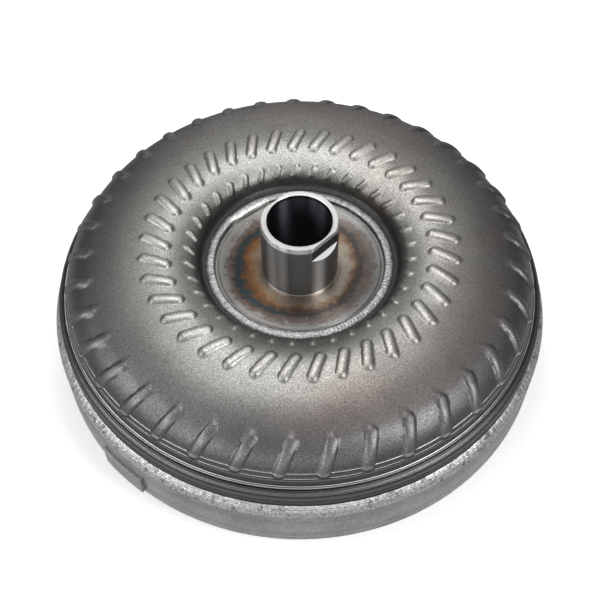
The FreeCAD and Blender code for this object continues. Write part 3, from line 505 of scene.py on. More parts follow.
def hub_steel():
    """Ground tube with a chamfer cut to clean steel, painted highlights on the ledges under its flats
    and a thin one round its foot, on a turned flange with the heat colours of the welding.
    """
    steel = Shader("hub_steel", 1.0, Anisotropic=1.0, Anisotropic_Rotation=0.25)
    radius, height = steel.parts()[:2]
    lines = steel.rings(2200.0, 4.0)
    ground = steel.shades(lines, (0.15, 0.145, 0.14), (0.25, 0.245, 0.24))
    across = steel.maths("MAXIMUM", *(steel.towards(azimuth) for azimuth in FLAT_AZIMUTHS))
    flat = steel.near(across, FLAT_DISTANCE, 0.02)
    ground = steel.mix(flat, ground, (0.07, 0.068, 0.066))
    tube = steel.both(steel.past(height, HUB_BASE + 0.7, HUB_BASE + 1.0),
                      steel.past(radius, HUB_R + 1.3, HUB_R + 0.6))
    colour = steel.mix(tube, heat_colours(steel, lines), ground)
    # A thin light ring round the tube's foot: a painted highlight on its fillet.
    foot = steel.both(steel.near(height, HUB_BASE + 0.9, 0.3),
                      steel.past(radius, HUB_R + 1.5, HUB_R + 0.9))
    colour = steel.mix(foot, colour, (0.86, 0.84, 0.80))
    chamfer_z = HUB_TOP - HUB_CHAMFER[1]
    top = steel.past(height, chamfer_z - 0.05, chamfer_z + 0.05)
    normal = steel.node("ShaderNodeNewGeometry").outputs["Normal"]
    upward = steel.node("ShaderNodeSeparateXYZ", {0: normal}).outputs[2]
    # The ledges under the flats, where the tube faces up, are painted white: a painted highlight.
    ledge_highlight = steel.both(steel.span(upward, 0.5, 0.7), tube)
    cut = steel.maths("MAXIMUM", steel.both(top, tube), ledge_highlight)
    # Clean steel on the chamfer, and on the ledges as a painted highlight.
    bare_and_highlight = steel.shades(lines, (0.80, 0.80, 0.79), (0.94, 0.94, 0.93))
    colour = steel.mix(cut, colour, bare_and_highlight)
    face = steel.past(height, HUB_TOP - 0.12, HUB_TOP - 0.06)
    colour = steel.mix(face, colour, (0.50, 0.50, 0.495))
    # The bore is painted near black: oiled steel, and painted shade for its depth.
    bore = steel.past(radius, BORE_R + 0.12, BORE_R + 0.05)
    oiled_and_shaded = steel.shades(lines, (0.045, 0.047, 0.055), (0.075, 0.078, 0.09))
    colour = steel.mix(bore, colour, oiled_and_shaded)
    rough = steel.mix(tube, steel.level(lines, 0.36, 0.48), steel.level(lines, 0.36, 0.44))
    rough = steel.mix(cut, rough, 0.26)
    # Nearly non-metallic on the ledges, so that their white shows under the lamps: part of their
    # painted highlight.
    steel.feed(steel.surface.inputs["Metallic"], steel.span(ledge_highlight, 0.0, 1.0, 1.0, 0.1))
    steel.brush()
    return steel.finish(colour, rough, steel.bump(lines, 0.06))


def weld_metal(name, light, streak, scale_tone):
    """Rough bead with bright flecks, and streaks and scale that darken it to the given shares."""
    steel = Shader(name, 1.0)
    flecks = steel.grain(1300.0, 3.0, 0.75)
    scale = steel.grain(260.0, 4.0, 0.6)
    streaks = steel.rings(2200.0, 2.0)
    colour = steel.ramp(flecks, ((0.30, 0.26), (0.52, (0.52, 0.515, 0.51)), (0.70, (0.85, 0.84, 0.82))))
    colour = steel.tinted(colour, steel.ramp(streaks, ((0.3, streak * light), (0.6, 1.15 * light))))
    burnt = steel.tinted(colour, scale_tone)
    colour = steel.mix(steel.span(scale, 0.54, 0.68), colour, burnt)
    radius = steel.parts()[0]
    facing = steel.span(steel.maths("DIVIDE", steel.towards(BEAD_STOP), radius), 0.952, 0.965)
    smear = steel.both(facing, steel.past(radius, 47.8, 47.0))
    smooth = steel.ramp(streaks, ((0.35, (0.42, 0.42, 0.41)), (0.6, (0.92, 0.92, 0.90))))
    colour = steel.mix(smear, colour, smooth)
    rough = steel.mix(smear, steel.level(flecks, 0.62, 0.40), 0.42)
    return steel.finish(colour, rough, steel.bump(flecks, 0.20, 0.7, steel.bump(scale, 0.5)))


def cover_steel():
    """Pressed cover, turned on its wall: satin with fine lines round it and a dull grain."""
    steel = Shader("cover_steel", 1.0, Anisotropic=0.5, Anisotropic_Rotation=0.25)
    lines = steel.rings(1500.0, 4.0)
    haze = steel.span(steel.grain(40.0, 4.0), 0.4, 0.65)
    speckle = steel.grain(1200.0, 3.0, 0.75)
    colour = steel.shades(lines, (0.34, 0.34, 0.345), (0.54, 0.535, 0.54))
    colour = steel.mix(haze, colour, steel.tinted(colour, (0.80, 0.79, 0.78)))
    colour = steel.tinted(colour, steel.shades(speckle, 0.58, 1.25))
    steel.brush()
    return steel.finish(colour, steel.level(speckle, 0.54, 0.40),
                        steel.bump(lines, 0.06, under=steel.bump(speckle, 0.08)))


# ---- Materials of the inside ----

def plain_metal(name, dark, bright, scale, roughness, depth, turned=False):
    """Metal whose tone, gloss and pits all follow one noise."""
    metal = Shader(name, 1.0)
    pattern = metal.rings(scale) if turned else metal.grain(scale, 4.0)
    stain = metal.span(metal.grain(45.0, 3.0), 0.45, 0.7, 0.0, 0.5)
    colour = metal.mix(stain, metal.shades(pattern, dark, bright), dark)
    rough = metal.level(pattern, roughness + 0.08, roughness - 0.06)
    return metal.finish(colour, rough, metal.bump(pattern, depth))


def friction_paper():
    """Brown fibrous paper."""
    paper = Shader("lining", 0.0)
    fibre = paper.grain(900.0, 5.0, 0.8, distortion=1.5)
    colour = paper.shades(fibre, (0.13, 0.095, 0.06), (0.30, 0.23, 0.15))
    return paper.finish(colour, paper.level(fibre, 0.95, 0.8), paper.bump(fibre, 0.1, 0.7))


def seal_ring():
    """Nearly black plastic."""
    plastic = Shader("seal", 0.0)
    cloud = plastic.grain(300.0, 3.0)
    colour = plastic.shades(cloud, (0.035, 0.028, 0.025), (0.07, 0.058, 0.05))
    return plastic.finish(colour, plastic.level(cloud, 0.5, 0.38), plastic.bump(cloud, 0.03, 0.4))


# Dark tone, bright tone, scale of the noise, roughness, depth of the pits, and whether turned.
PLAIN_METALS = {
    "lug_steel": (0.30, (0.46, 0.455, 0.45), 1100.0, 0.40, 0.06),
    "weight_steel": (0.24, (0.52, 0.52, 0.50), 900.0, 0.44, 0.1),
    "plate_steel": ((0.17, 0.17, 0.18), (0.30, 0.30, 0.31), 700.0, 0.42, 0.08),
    "blade_steel": ((0.30, 0.26, 0.21), (0.50, 0.46, 0.40), 350.0, 0.38, 0.06),
    "race_steel": ((0.26, 0.26, 0.27), (0.40, 0.40, 0.41), 2500.0, 0.28, 0.02, True),
    "spring_steel": ((0.10, 0.105, 0.13), (0.22, 0.225, 0.26), 500.0, 0.30, 0.04),
    "cast_aluminium": ((0.55, 0.55, 0.54), (0.76, 0.76, 0.75), 900.0, 0.45, 0.12),
    "cage_brass": ((0.55, 0.40, 0.16), (0.80, 0.63, 0.33), 800.0, 0.28, 0.04),
}
MATERIALS = {
    "shell_steel": shell_steel(),
    "hub_steel": hub_steel(),
    "weld_metal": weld_metal("weld_metal", 0.9, 0.55, 0.54),
    "rim_weld_metal": weld_metal("rim_weld_metal", 1.2, 0.38, 0.34),
    "cover_steel": cover_steel(),
    "lining": friction_paper(),
    "seal": seal_ring(),
}
MATERIALS |= {name: plain_metal(name, *looks) for name, looks in PLAIN_METALS.items()}


# ---- Impeller shell ----

def spread(first, last, count):
    """Evenly spaced values from first up to, but without, last."""
    return [first + (last - first) * index / count for index in range(count)]


def shell_skin():
    """Outer surface of the shell as rows of (radius, height, normal r, normal z, extra height)."""
    rows = []

    def add(point, normal, extra=0.0):
        rows.append((*point, *normal, extra))

    def add_arc(arc, tilts, hollow=False, extra=0.0):
        centre, radius = arc
        side = -1 if hollow else 1
        for tilt in tilts:
            outward = on_arc((0, 0), side, tilt)
            add(on_arc(centre, radius, tilt), outward, extra)

    for radius in spread(FLANGE_R, TROUGH_R, 3):
        add((radius, LIP_TOP), (0.0, 1.0))
    fillet = ((TROUGH_R, LIP_TOP + TROUGH_FILLET), TROUGH_FILLET)
    add_arc(fillet, spread(180.0, 100.0, 5) + [100.0], hollow=True)
    add_arc(THROAT, spread(-THROAT_TILT, -INNER_TILT, 11))
    add_arc(INNER, spread(-INNER_TILT, 0.0, 24))
    add_arc(CROWN, spread(0.0, 5.0, 9) + spread(5.0, CROWN_TILT, 9))
    tilt = CROWN_TILT
    for line in LINE_TILTS + (STEP_TILT,):
        foot = line - LINE_HALF
        add_arc(SHOULDER, spread(tilt, foot, round((foot - tilt) / SKIN_STEP)) + [foot])
        if line < STEP_TILT:
            add_arc(SHOULDER, [line], extra=LINE_HEIGHT)
            add_arc(SHOULDER, [line + LINE_HALF])
        tilt = line + LINE_CLEAR
    add_arc(SHOULDER, [STEP_TILT])
    return rows


def rim_outline():
    """The turned rim below the step, the skirt and the inside of the shell, back to the lip."""
    inside = [(arc[0], arc[1] - SHELL_WALL) for arc in (THROAT, INNER, CROWN, SHOULDER)]
    throat, inner, crown, shoulder = inside
    skirt_inside = SKIRT_R - SHELL_WALL
    points = [
        (LEDGE_R - 0.75, STEP_Z - 0.35), (LEDGE_R - 0.5, STEP_Z - 0.02), (LEDGE_R - 0.2, STEP_Z),
        (LEDGE_R, STEP_Z - 0.2), (LEDGE_R + 0.12, STEP_Z - 0.9), (126.3, STEP_Z - 1.25),
        (127.9, 53.9), SKIRT_SHOULDER, (128.3, 53.1), (SKIRT_R, 51.8), (SKIRT_R, 50.2),
        (SKIRT_R - 0.12, 49.9), (SKIRT_R, 49.6), (SKIRT_R, 42.0), (SKIRT_R, SKIRT_BOTTOM + 0.3),
        (SKIRT_R - 0.3, SKIRT_BOTTOM), (skirt_inside, SKIRT_BOTTOM), (skirt_inside, 50.3),
    ]
    points += arc_points(*shoulder, (90.0, 70.0, 50.0, 35.0, CROWN_TILT))
    points += arc_points(*crown, (12.0, 5.0, 0.0))
    points += arc_points(*inner, (-12.0, -24.0, -INNER_TILT))
    points += arc_points(*throat, (-55.0, -THROAT_TILT))
    points += [(TROUGH_R + SHELL_WALL, LIP_TOP - SHELL_WALL), (FLANGE_R, LIP_TOP - SHELL_WALL)]
    return points


def column_offsets():
    """Azimuths of the grid's columns within one pitch, dense over the mark in its middle."""
    fine = spread(-MARK_SPAN, MARK_SPAN, 14)
    coarse = spread(MARK_SPAN, MARK_PITCH - MARK_SPAN, 6)
    return np.array(fine + coarse)


def mark_relief(path, radii, azimuths, ring):
    """Height of one ring's marks over the skin; azimuths are measured from the marks' own."""
    first, last, start, end, half_width, flank, height, rise_from = ring
    s_first, s_last = np.interp([first, last], radii[:, 0], path[:, 0])
    middle_r = (first + last) / 2
    run = np.array([s_last - s_first, math.radians(end - start) * middle_r])
    along = path - s_first
    across = np.radians(azimuths - start) * radii
    share = np.clip((along * run[0] + across * run[1]) / (run @ run), 0.0, 1.0)
    distance = np.hypot(along - share * run[0], across - share * run[1])
    dome = 1 - MARK_DOME * np.minimum(distance / half_width, 1.0) ** 2
    rise = rise_from + (1 - rise_from) * smooth_step(share / MARK_RISE)
    return height * rise * dome * smooth_step((half_width - distance) / flank)


def all_pitches(one_pitch):
    """Azimuths of every column, row by row, from those of one mark's pitch."""
    turns = np.arange(MARKS) * MARK_PITCH
    return (turns[None, :, None] + one_pitch[:, None, :]).reshape(len(one_pitch), -1)


def impeller_shell():
    """Pressed shell; the attribute crest tells its material how high each mark stands, for the painted
    highlight on the marks.
    """
    skin = np.array(shell_skin())
    radii, heights, normal_r, normal_z, extra = np.split(skin, 5, axis=1)
    steps = np.hypot(np.diff(radii[:, 0]), np.diff(heights[:, 0]))
    path = np.append(0.0, np.cumsum(steps))[:, None]
    marks_r = [radius for ring in MARK_RINGS for radius in ring[:2]]
    marks_azimuth = [azimuth for ring in MARK_RINGS for azimuth in ring[2:4]]
    lean = np.interp(radii, marks_r, marks_azimuth)
    one_pitch = lean + column_offsets()
    marks = sum(mark_relief(path, radii, one_pitch, ring) for ring in MARK_RINGS)
    relief = np.tile(marks + extra, (1, MARKS))
    outside = turned_grid(radii + relief * normal_r, heights + relief * normal_z,
                          all_pitches(one_pitch))
    rest = np.array(rim_outline())
    # The lean fades out down the inside, so that the last row meets the first one.
    fade = np.linspace(lean[-1], lean[0], len(rest))
    inside = turned_grid(rest[:, :1], rest[:, 1:], all_pitches(fade + column_offsets()))
    faces = loop_faces(len(skin) + len(rest), relief.shape[1])
    shell = piece_from("impeller_shell_skin", np.concatenate([outside, inside]), faces,
                       MATERIALS["shell_steel"], "housing", 40.0)
    crest = np.tile(marks / MARK_HEIGHT, (1, MARKS))
    attribute = shell.data.attributes.new("crest", "FLOAT", "POINT")
    attribute.data.foreach_set("value", np.append(crest, np.zeros(len(inside))))
    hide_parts("impeller_shell")


# ---- Hub ----

def hub_azimuths():
    """Even azimuths, and those where the flats cut the tube and its chamfered end."""
    even = np.arange(288) * FULL_TURN / 288
    half_angles = np.degrees(np.arccos(FLAT_DISTANCE / np.array([HUB_R, HUB_R - HUB_CHAMFER[0]])))
    corners = np.add.outer(FLAT_AZIMUTHS, np.append(-half_angles, half_angles))
    return np.unique(np.round(np.append(even, np.mod(corners, FULL_TURN)), 6))


def impeller_hub():
    """Turned tube and flange; the flats pull the tube's outer rows in to a plane."""
    flat_bottom = HUB_TOP - FLAT_DEPTH
    chamfer_z = HUB_TOP - HUB_CHAMFER[1]
    outline = [
        (BORE_R, HUB_BOTTOM + 0.5), (BORE_R + 0.5, HUB_BOTTOM), (39.5, HUB_BOTTOM),
        (40.2, HUB_BOTTOM + 0.3), (FLANGE_R, HUB_BOTTOM + 3.8), (FLANGE_R, 65.2),
        (44.3, 65.6), (43.5, 65.6), (43.2, 65.7), (42.8, 66.15), (42.5, 66.3), (42.0, 66.25),
        *reversed(FLANGE_DISH), (22.1, 63.15), (21.7, 62.85), (21.2, 62.7), (20.7, 62.75),
        (20.25, 63.1),
        (HUB_R, 63.7), (HUB_R, 75.0), (HUB_R, 88.0),
    ]
    cut_from = len(outline)
    outline += [
        (HUB_R, flat_bottom), (HUB_R, flat_bottom + 0.01), (HUB_R, 95.0),
        (HUB_R, chamfer_z - 0.15), (HUB_R - 0.05, chamfer_z + 0.15),
        (HUB_R - HUB_CHAMFER[0] + 0.05, HUB_TOP - 0.15), (HUB_R - HUB_CHAMFER[0] - 0.15, HUB_TOP),
    ]
    cut_to = len(outline)
    outline += [
        (BORE_R + 0.65, HUB_TOP), (BORE_R + 0.45, HUB_TOP - 0.08), (BORE_R + 0.08, HUB_TOP - 0.45),
        (BORE_R, HUB_TOP - 0.65), (BORE_R, 80.0),
    ]
    section = np.array(outline)
    azimuths = hub_azimuths()
    radii = np.repeat(section[:, :1], len(azimuths), axis=1)
    heights = np.repeat(section[:, 1:], len(azimuths), axis=1)
    for flat in FLAT_AZIMUTHS:
        facing = np.cos(np.radians(azimuths - flat))
        reach = np.where(facing > 0.5, FLAT_DISTANCE / np.maximum(facing, 0.5), HUB_R + 1)
        radii[cut_from + 1:cut_to] = np.minimum(radii[cut_from + 1:cut_to], reach)
        heights[cut_from] -= FLAT_LEDGE_SLOPE * np.maximum(HUB_R * facing - FLAT_DISTANCE, 0.0)
    points = turned_grid(radii, heights, azimuths)
    faces = loop_faces(len(outline), len(azimuths))
    hub = piece_from("impeller_hub_turned", points, faces, MATERIALS["hub_steel"],
                     "housing", 30.0)
    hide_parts("impeller_hub")


# ---- Welds ----

def bead(name, node, place, shape_at, columns, across, material):
    """Ring of weld: shape_at(azimuth, share) gives (radius, height) across the bead's back, and
    place holds the points of its section that lie on the joined parts."""
    points = []
    azimuths = np.arange(columns) * FULL_TURN / columns
    for share in np.linspace(0.0, 1.0, across):
        for azimuth in azimuths:
            radius, height = shape_at(azimuth, share)
            points.append(polar(radius, azimuth, height))
    for radius, height in place:
        points += [polar(radius, azimuth, height) for azimuth in azimuths]
    faces = loop_faces(across + len(place), columns)
    made = piece_from(name, points, faces, material, "housing", 60.0)
    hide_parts(node)


def roughness(azimuth, share, *layers):
    """Crust of a bead; each layer has a height, a stretch across the bead, a scale and a seed."""
    return sum(height * wobble(azimuth, share * stretch, scale, seed)
               for height, stretch, scale, seed in layers)


def hub_bead_shape(azimuth, share):
    """Bead between flange and shell; it spreads where the torch stopped."""
    angle_from_stop = (azimuth - BEAD_STOP + 180.0) % FULL_TURN - 180.0
    spill = math.exp(-(angle_from_stop / BEAD_SPILL) ** 4)
    low_r = HUB_WELD_RADII[0] - 0.25 * wobble(azimuth, 0.0, 17.0, 1) - 2.2 * spill
    high_r = HUB_WELD_RADII[1] + 0.35 * wobble(azimuth, 0.0, 14.0, 2)
    high_r += 0.2 * wobble(azimuth, 0.0, 40.0, 3)
    rise = HUB_WELD_RISE + 0.2 * wobble(azimuth, 0.0, 12.0, 4) + 0.35 * spill
    ripple = 0.07 * math.sin(math.radians(azimuth * 150 + 70 * abs(2 * share - 1)))
    crust = roughness(azimuth, share, (0.16, 5.0, 48.0, 5), (0.10, 9.0, 95.0, 6))
    back = math.sin(math.pi * share) ** 0.4
    foot = HUB_WELD_FOOT + 0.5 * spill
    foot += (LIP_TOP - 0.2 - foot) * smooth_step(share * 5.0)
    return low_r + (high_r - low_r) * share, foot + back * (rise + ripple + crust)


def rim_bead_shape(azimuth, share):
    """Fillet bead between the shell's skirt and the cover's edge."""
    low = np.array([COVER_R + 0.1, COVER_TOP - 0.35])
    top = COVER_TOP + RIM_WELD_HEIGHT + 0.5 * wobble(azimuth, 0.0, 20.0, 7)
    high = np.array([SKIRT_R - 0.05, top])
    base = low + (high - low) * share
    belly = math.sin(math.pi * share) ** 0.8
    ripple = 0.09 * math.sin(math.radians(azimuth * 260 + 90 * share))
    crust = roughness(azimuth, share, (0.14, 9.0, 60.0, 8), (0.10, 16.0, 150.0, 9))
    out = belly * (0.75 + ripple + crust)
    return base[0] + out * 0.78, base[1] + out * 0.62


def welds():
    hub_place = ((48.4, LIP_TOP - 0.6), (44.4, LIP_TOP - 1.7))
    bead("hub_weld_bead", "hub_weld", hub_place, hub_bead_shape, 1440, 17, MATERIALS["weld_metal"])
    rim_place = ((SKIRT_R - 0.3, COVER_TOP + 3.0), (SKIRT_R - 0.3, COVER_TOP - 0.35))
    bead("rim_weld_bead", "rim_weld", rim_place, rim_bead_shape, 2160, 15, MATERIALS["rim_weld_metal"])


# ---- Front cover and balance weight ----

def front_cover():
    """Pressed dish with rounded corners and a broken edge."""
    outer = (COVER_R - COVER_CORNER, COVER_BOTTOM + COVER_CORNER)
    inner = (SKIRT_R - COVER_INNER_CORNER, COVER_INSIDE + COVER_INNER_CORNER)
    outline = [(COVER_HOLE_R, COVER_BOTTOM), (40.0, COVER_BOTTOM), (90.0, COVER_BOTTOM)]
    outline += arc_points(outer, COVER_CORNER, spread(180.0, 90.0, 12) + [90.0])
    outline += [(COVER_R, 24.0), (COVER_R, COVER_TOP - 0.5), (COVER_R - 0.15, COVER_TOP - 0.15),
                (COVER_R - 0.5, COVER_TOP), (SKIRT_R, COVER_TOP), (SKIRT_R, inner[1])]
    outline += arc_points(inner, COVER_INNER_CORNER, spread(90.0, 180.0, 6) + [180.0])
    outline += [(COVER_HOLE_R, COVER_INSIDE)]
    cover = lathe("front_cover_turned", outline, MATERIALS["cover_steel"],
                  "housing", 360)
    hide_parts("front_cover")


def weight_face(azimuth, height):
    """Radius of the weight's outer face, eased at its edges and dented by the spot welds."""
    start, end = WEIGHT_AZIMUTHS
    inwards = min(azimuth - start, end - azimuth) * math.radians(COVER_R)
    inwards = min(inwards, height - WEIGHT_BOTTOM, WEIGHT_TOP - height, WEIGHT_EDGE)
    drop = WEIGHT_EDGE * (1 - math.sqrt(1 - (1 - inwards / WEIGHT_EDGE) ** 2))
    above = height - (WEIGHT_BOTTOM + WEIGHT_TOP) / 2 - DENT_RISE
    for dent in DENT_AZIMUTHS:
        away = math.hypot(math.radians(azimuth - dent) * COVER_R, above)
        drop += DENT_DEPTH * float(smooth_step(1 - away / DENT_R))
    return COVER_R + WEIGHT_THICKNESS - drop


def balance_weight():
    """Small plate bent to the cover's wall, its back just under the wall's face."""
    azimuths = np.linspace(*WEIGHT_AZIMUTHS, 49)
    low, high = WEIGHT_BOTTOM, WEIGHT_TOP
    levels = np.linspace(low, high, 29)[1:-1]
    levels = [low, low + 0.08, low + 0.2, *levels, high - 0.2, high - 0.08, high]
    places = [(azimuth, height) for height in levels for azimuth in azimuths]
    points = [polar(weight_face(*place), *place) for place in places]
    points += [polar(COVER_R - 0.02, *place) for place in places]
    rows, columns = len(levels), len(azimuths)
    back = rows * columns
    faces = []
    for row in range(rows - 1):
        for column in range(columns - 1):
            corner = row * columns + column
            quad = (corner, corner + 1, corner + columns + 1, corner + columns)
            faces += [quad, tuple(back + index for index in reversed(quad))]
        for column in (0, columns - 1):
            corner = row * columns + column
            faces.append((corner, corner + columns, back + corner + columns, back + corner))
    for column in range(columns - 1):
        for corner in (column, (rows - 1) * columns + column):
            faces.append((corner, corner + 1, back + corner + 1, back + corner))
    plate = piece_from("balance_weight_plate", points, faces, MATERIALS["weight_steel"],
                       "housing", 50.0)
    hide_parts("balance_weight")


def top_face(radius):
    """Height of the flange, lip or shell under a drop of spatter."""
    if radius < HUB_WELD_RADII[1] - 0.5:
        return float(np.interp(radius, *zip(*FLANGE_DISH, *FLANGE_EDGE)))
    if radius < TROUGH_R + TROUGH_FILLET:
        return LIP_TOP
    centre, curve = THROAT if radius < INNER_START_R else INNER
    return centre[1] + math.sqrt(curve ** 2 - (radius - centre[0]) ** 2)


def weld_spatter():
    """Drops of weld metal stuck to the flange and to the shell round it."""
    shape = bmesh.new()
    for radius, azimuth, size in SPATTER:
        height = top_face(radius)
        drop = bmesh.ops.create_icosphere(shape, subdivisions=2, radius=size * MM)["verts"]
        bmesh.ops.scale(shape, vec=(1.0, 1.0, 0.75), verts=drop)
        bmesh.ops.translate(shape, vec=polar(radius, azimuth, height + 0.3 * size) * MM, verts=drop)
    mesh = bpy.data.meshes.new("weld_spatter")
    for face in shape.faces:
        face.smooth = True
    shape.to_mesh(mesh)
    shape.free()
    mesh.materials.append(MATERIALS["weld_metal"])
    drops = bpy.data.objects.new("weld_spatter", mesh)
    bpy.context.scene.collection.objects.link(drops)
    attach(drops, "housing")


# ---- Lugs and pilot on the front cover ----

LUG_STEPS = 8                    # points round a lug's corner, and steps along its edges

def lug_ring(inset):
    """Outline of a lug, centred and drawn in, from its corner arcs and evenly spaced edge points."""
    corner = LUG_CORNER - inset
    half = [size / 2 - LUG_CORNER for size in LUG_SIZE]
    ring = []
    for turn, (side_x, side_y) in enumerate(((1, 1), (-1, 1), (-1, -1), (1, -1))):
        centre = Vector((side_x * half[0], side_y * half[1]))
        following = Vector((-side_y * half[0], side_x * half[1]))
        arms = [polar(corner, azimuth, 0.0).xy
                for azimuth in np.linspace(90 * turn, 90 * turn + 90, LUG_STEPS)]
        ring += [centre + arm for arm in arms]
        ring += [(centre + arms[-1]).lerp(following + arms[-1], step / LUG_STEPS)
                 for step in range(1, LUG_STEPS)]
    return ring


def lug_rows():
    """Rings of points over a lug: down its side, over its lower face and up its threaded hole."""
    edge = ((0.0, COVER_BOTTOM), (0.0, 0.6), (0.18, 0.18), (0.6, 0.0), (1.2, 0.0))
    rows = [[(*point, height) for point in lug_ring(inset)] for inset, height in edge]
    bore = [(LUG_HOLE_R + 1.1, 0.0), (LUG_HOLE_R + 1.0, 0.05), (LUG_HOLE_R + 0.05, 1.0)]
    height = THREAD_START
    while height < COVER_BOTTOM - THREAD_PITCH:
        bore.append((LUG_HOLE_R + THREAD_DEPTH, height + THREAD_PITCH / 2))
        height += THREAD_PITCH
        bore.append((LUG_HOLE_R, height))
    bore.append((LUG_HOLE_R, COVER_BOTTOM))
    outline = lug_ring(0.0)
    for radius, height in bore:
        rows.append([(*(radius * point.normalized()), height) for point in outline])
    return rows


def lug_turn(lug):
    """Rotation from the lug on the X axis to another one."""
    return Matrix.Rotation(math.radians(lug * FULL_TURN / LUGS), 3, "Z")


def drive_lugs():
    """Blocks with rounded corners, soft edges and a threaded hole."""
    rows = lug_rows()
    block = [(x + LUG_CIRCLE_R, y, z) for row in rows for x, y, z in row]
    points, faces = [], []
    for lug in range(LUGS):
        for face in loop_faces(len(rows), len(rows[0])):
            faces.append(tuple(len(points) + index for index in face))
        turn = lug_turn(lug)
        points += [turn @ Vector(point) for point in block]
    blocks = piece_from("drive_lug_blocks", points, faces, MATERIALS["lug_steel"],
                        "housing", 30.0)
    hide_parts("drive_lugs")


def lug_bead_section(along, side, seed):
    """Closed section of a lug's fillet weld: flat on the lug and the cover, bulging outside."""
    full = math.sqrt(max(0.0, 1 - abs(2 * along - 1) ** 6)) * 0.92 + 0.08
    crust = 0.30 * wobble(along * 200.0, 0.0, 9.0, seed)
    crust += 0.15 * wobble(along * 200.0, 3.0, 31.0, seed)
    leg = LUG_WELD_LEG * full
    wall = LUG_CIRCLE_R + side * LUG_SIZE[0] / 2
    section = [(wall - side * 0.3, COVER_BOTTOM), (wall - side * 0.3, COVER_BOTTOM - leg)]
    for step in range(8):
        angle = math.pi / 2 * step / 7
        reach = leg * (0.80 + 0.16 * math.cos(4 * angle)) + crust * math.sin(2 * angle)
        section.append((wall + side * reach * math.sin(angle), COVER_BOTTOM - reach * math.cos(angle)))
    return section


def lug_weld_beads():
    """Two beads on each lug, along its inner and outer edge."""
    steps = 61
    length = LUG_SIZE[1] - 2 * LUG_CORNER
    points, faces = [], []
    for lug in range(LUGS):
        turn = lug_turn(lug)
        for side in (-1, 1):
            start = len(points)
            for step in range(steps):
                along = step / (steps - 1)
                section = lug_bead_section(along, side, 20 + 2 * lug + side)
                y = (along - 0.5) * length
                points += [turn @ Vector((x, y, z)) for x, z in section]
            count = len(section)
            for step in range(steps - 1):
                row = start + step * count
                for index in range(count):
                    here = row + index
                    beside = row + (index + 1) % count
                    faces.append((here, beside, beside + count, here + count))
            last = start + (steps - 1) * count
            faces += [tuple(range(start, start + count)), tuple(range(last, last + count))]
    beads = piece_from("lug_weld_beads", points, faces, MATERIALS["weld_metal"],
                       "housing", 60.0)
    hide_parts("lug_welds")


def pilot_bead_shape(azimuth, share):
    """Fillet bead round the pilot's foot."""
    belly = math.sin(math.pi * share) ** 0.8
    crust = roughness(azimuth, share, (0.12, 4.0, 25.0, 14), (0.08, 7.0, 60.0, 15))
    ripple = 0.05 * math.sin(math.radians(azimuth * 90))
    out = 0.7 * belly * (0.35 + crust + ripple)
    step = PILOT_WELD_LEG * share
    return PILOT_FOOT[0] + step + out, PILOT_FOOT[1] + step - out


def pilot():
    """Turned boss with a fine groove in its face, on a foot that is welded round its edge."""
    foot_r, foot_z = PILOT_FOOT
    outline = [
        (0.0, PILOT_END), (1.6, PILOT_END), (1.75, PILOT_END + 0.9), (2.0, PILOT_END),
        (PILOT_R - 1.5, PILOT_END), (PILOT_R - 1.3, PILOT_END + 0.05),
        (PILOT_R - 0.06, PILOT_END + 1.3), (PILOT_R, PILOT_END + 1.55), (PILOT_R, foot_z - 0.4),
        (PILOT_R + 0.1, foot_z - 0.1), (PILOT_R + 0.4, foot_z), (foot_r - 0.2, foot_z),
        (foot_r, foot_z + 0.2), (foot_r, COVER_BOTTOM), (COVER_HOLE_R, COVER_BOTTOM),
        (COVER_HOLE_R, COVER_INSIDE), (PILOT_BORE_R, COVER_INSIDE), (PILOT_BORE_R, COVER_BOTTOM),
        (0.0, COVER_BOTTOM - 1.5),
    ]
    boss = lathe("pilot_boss_turned", outline, MATERIALS["lug_steel"],
                 "housing", 180, 30.0)
    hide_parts("pilot_boss")
    behind = ((foot_r + PILOT_WELD_LEG, COVER_BOTTOM), (foot_r - 0.2, COVER_BOTTOM),
              (foot_r - 0.2, foot_z + 0.3))
    bead("pilot_weld_bead", "pilot_weld", behind, pilot_bead_shape, 720, 9,
         MATERIALS["weld_metal"])


# ---- Studio ----

# Brightness of the air, from straight down (0) over the horizon (0.5) to straight up (1).
AIR = ((0.0, 0.75), (0.32, 0.50), (0.46, 0.20), (0.60, 0.15), (0.90, 0.24), (1.0, 0.28))
BACKDROP = 1.0
FLOOR_SIZE = 30.0
# Distances over which the floor's own light grows with the distance from the part, and its ends.
FLOOR_GLOW = (0.6, 3.0, 0.36, 0.95)


def pale_surface():
    """Seamless white paper."""
    paper = Shader("studio_paper", 0.0)
    tooth = paper.grain(400.0, 3.0)
    paper.surface.inputs["Emission Color"].default_value = rgba(1.0)
    glow = paper.span(paper.parts()[0], *FLOOR_GLOW)
    paper.feed(paper.surface.inputs["Emission Strength"], glow)
    return paper.finish(paper.shades(tooth, 0.90, 0.93), paper.level(tooth, 0.85, 0.8))


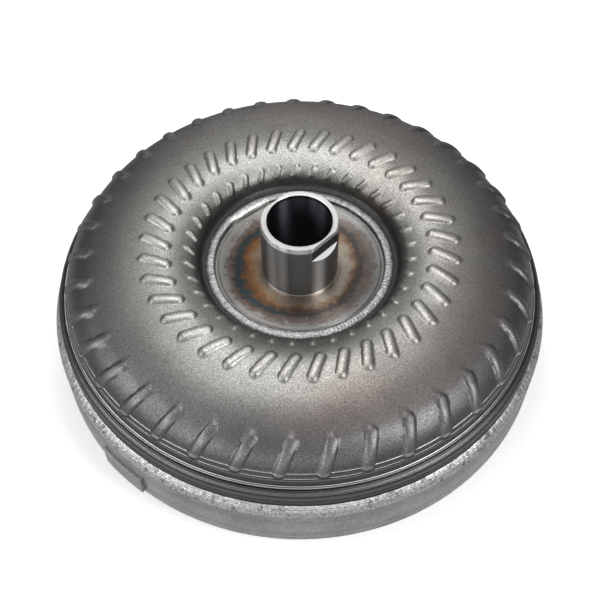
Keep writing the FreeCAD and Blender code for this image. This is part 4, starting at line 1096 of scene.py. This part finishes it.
def studio():
    """White paper floor, and air that is dark round the horizon and brighter above and below."""
    bpy.ops.mesh.primitive_plane_add(size=FLOOR_SIZE, location=(0, 0, CAD_BOX[0].z - 0.1 * MM))
    floor = bpy.context.object
    floor.name = "studio_floor"
    floor.data.materials.append(pale_surface())
    floor.visible_glossy = False
    world = bpy.data.worlds.new("studio_air")
    world.use_nodes = True
    nodes, links = world.node_tree.nodes, world.node_tree.links
    direction = nodes.new("ShaderNodeTexCoord").outputs["Generated"]
    split = nodes.new("ShaderNodeSeparateXYZ")
    links.new(direction, split.inputs[0])
    upward = nodes.new("ShaderNodeMapRange")
    upward.inputs["From Min"].default_value = -1.0
    links.new(split.outputs[2], upward.inputs["Value"])
    ramp = nodes.new("ShaderNodeValToRGB")
    links.new(upward.outputs[0], ramp.inputs[0])
    set_ramp(ramp.color_ramp.elements, AIR)
    seen = nodes.new("ShaderNodeMix")
    seen.data_type = "RGBA"
    links.new(nodes.new("ShaderNodeLightPath").outputs["Is Camera Ray"], seen.inputs[0])
    links.new(ramp.outputs[0], seen.inputs[6])
    seen.inputs[7].default_value = rgba(BACKDROP)
    links.new(seen.outputs[2], nodes["Background"].inputs["Color"])
    bpy.context.scene.world = world


def softbox(name, place, target, size, power):
    """Rectangular light at a place, facing a target; places in metres."""
    data = bpy.data.lights.new(name, "AREA")
    data.shape = "RECTANGLE"
    data.size, data.size_y = size
    data.energy = power
    light = bpy.data.objects.new(name, data)
    light.location = place
    light.rotation_mode = "QUATERNION"
    light.rotation_quaternion = (Vector(place) - Vector(target)).to_track_quat("Z", "Y")
    light.visible_camera = False
    bpy.context.scene.collection.objects.link(light)


def lights():
    """A panel close over the crown, and softboxes round it whose gloss runs down the hub."""
    crown = (0.0, 0.0, 0.07)
    softbox("overhead", (-0.02, 0.125, 0.40), (-0.02, 0.125, 0.0), (0.22, 0.28), 0.72)
    softbox("back", (0.0, 1.2, 0.35), crown, (1.0, 0.35), 0.9)
    softbox("front", (0.0, -1.2, 0.45), crown, (0.9, 0.4), 2.2)
    softbox("left", (-1.05, -0.30, 0.75), crown, (0.5, 0.9), 5.0)
    softbox("right", (0.85, -0.65, 0.90), crown, (0.5, 0.9), 9.5)
    softbox("front_left", (-0.85, -0.95, 0.55), crown, (0.5, 0.5), 4.0)


def camera():
    """Looks down at the hub from the front, 54 degrees above the horizon."""
    data = bpy.data.cameras.new("camera")
    data.lens = 60.1
    data.sensor_width = 36.0
    made = bpy.data.objects.new("camera", data)
    made.location = (0.0002, -0.3241, HUB_TOP * MM + 0.3841)
    forward = Vector((0.0, 0.5820, -0.8132))
    made.rotation_mode = "QUATERNION"
    made.rotation_quaternion = forward.to_track_quat("-Z", "Y")
    bpy.context.scene.collection.objects.link(made)
    bpy.context.scene.camera = made


def dress_cad_nodes():
    """CAD nodes that stay as they are get their slot's material."""
    for name, node in frame["nodes"].items():
        node.data.materials.clear()
        node.data.materials.append(MATERIALS[SLOT_OF[name]])


dress_cad_nodes()
impeller_shell()
impeller_hub()
welds()
front_cover()
balance_weight()
weld_spatter()
drive_lugs()
lug_weld_beads()
pilot()
studio()
lights()
camera()
bpy.context.scene.view_settings.view_transform = "Standard"
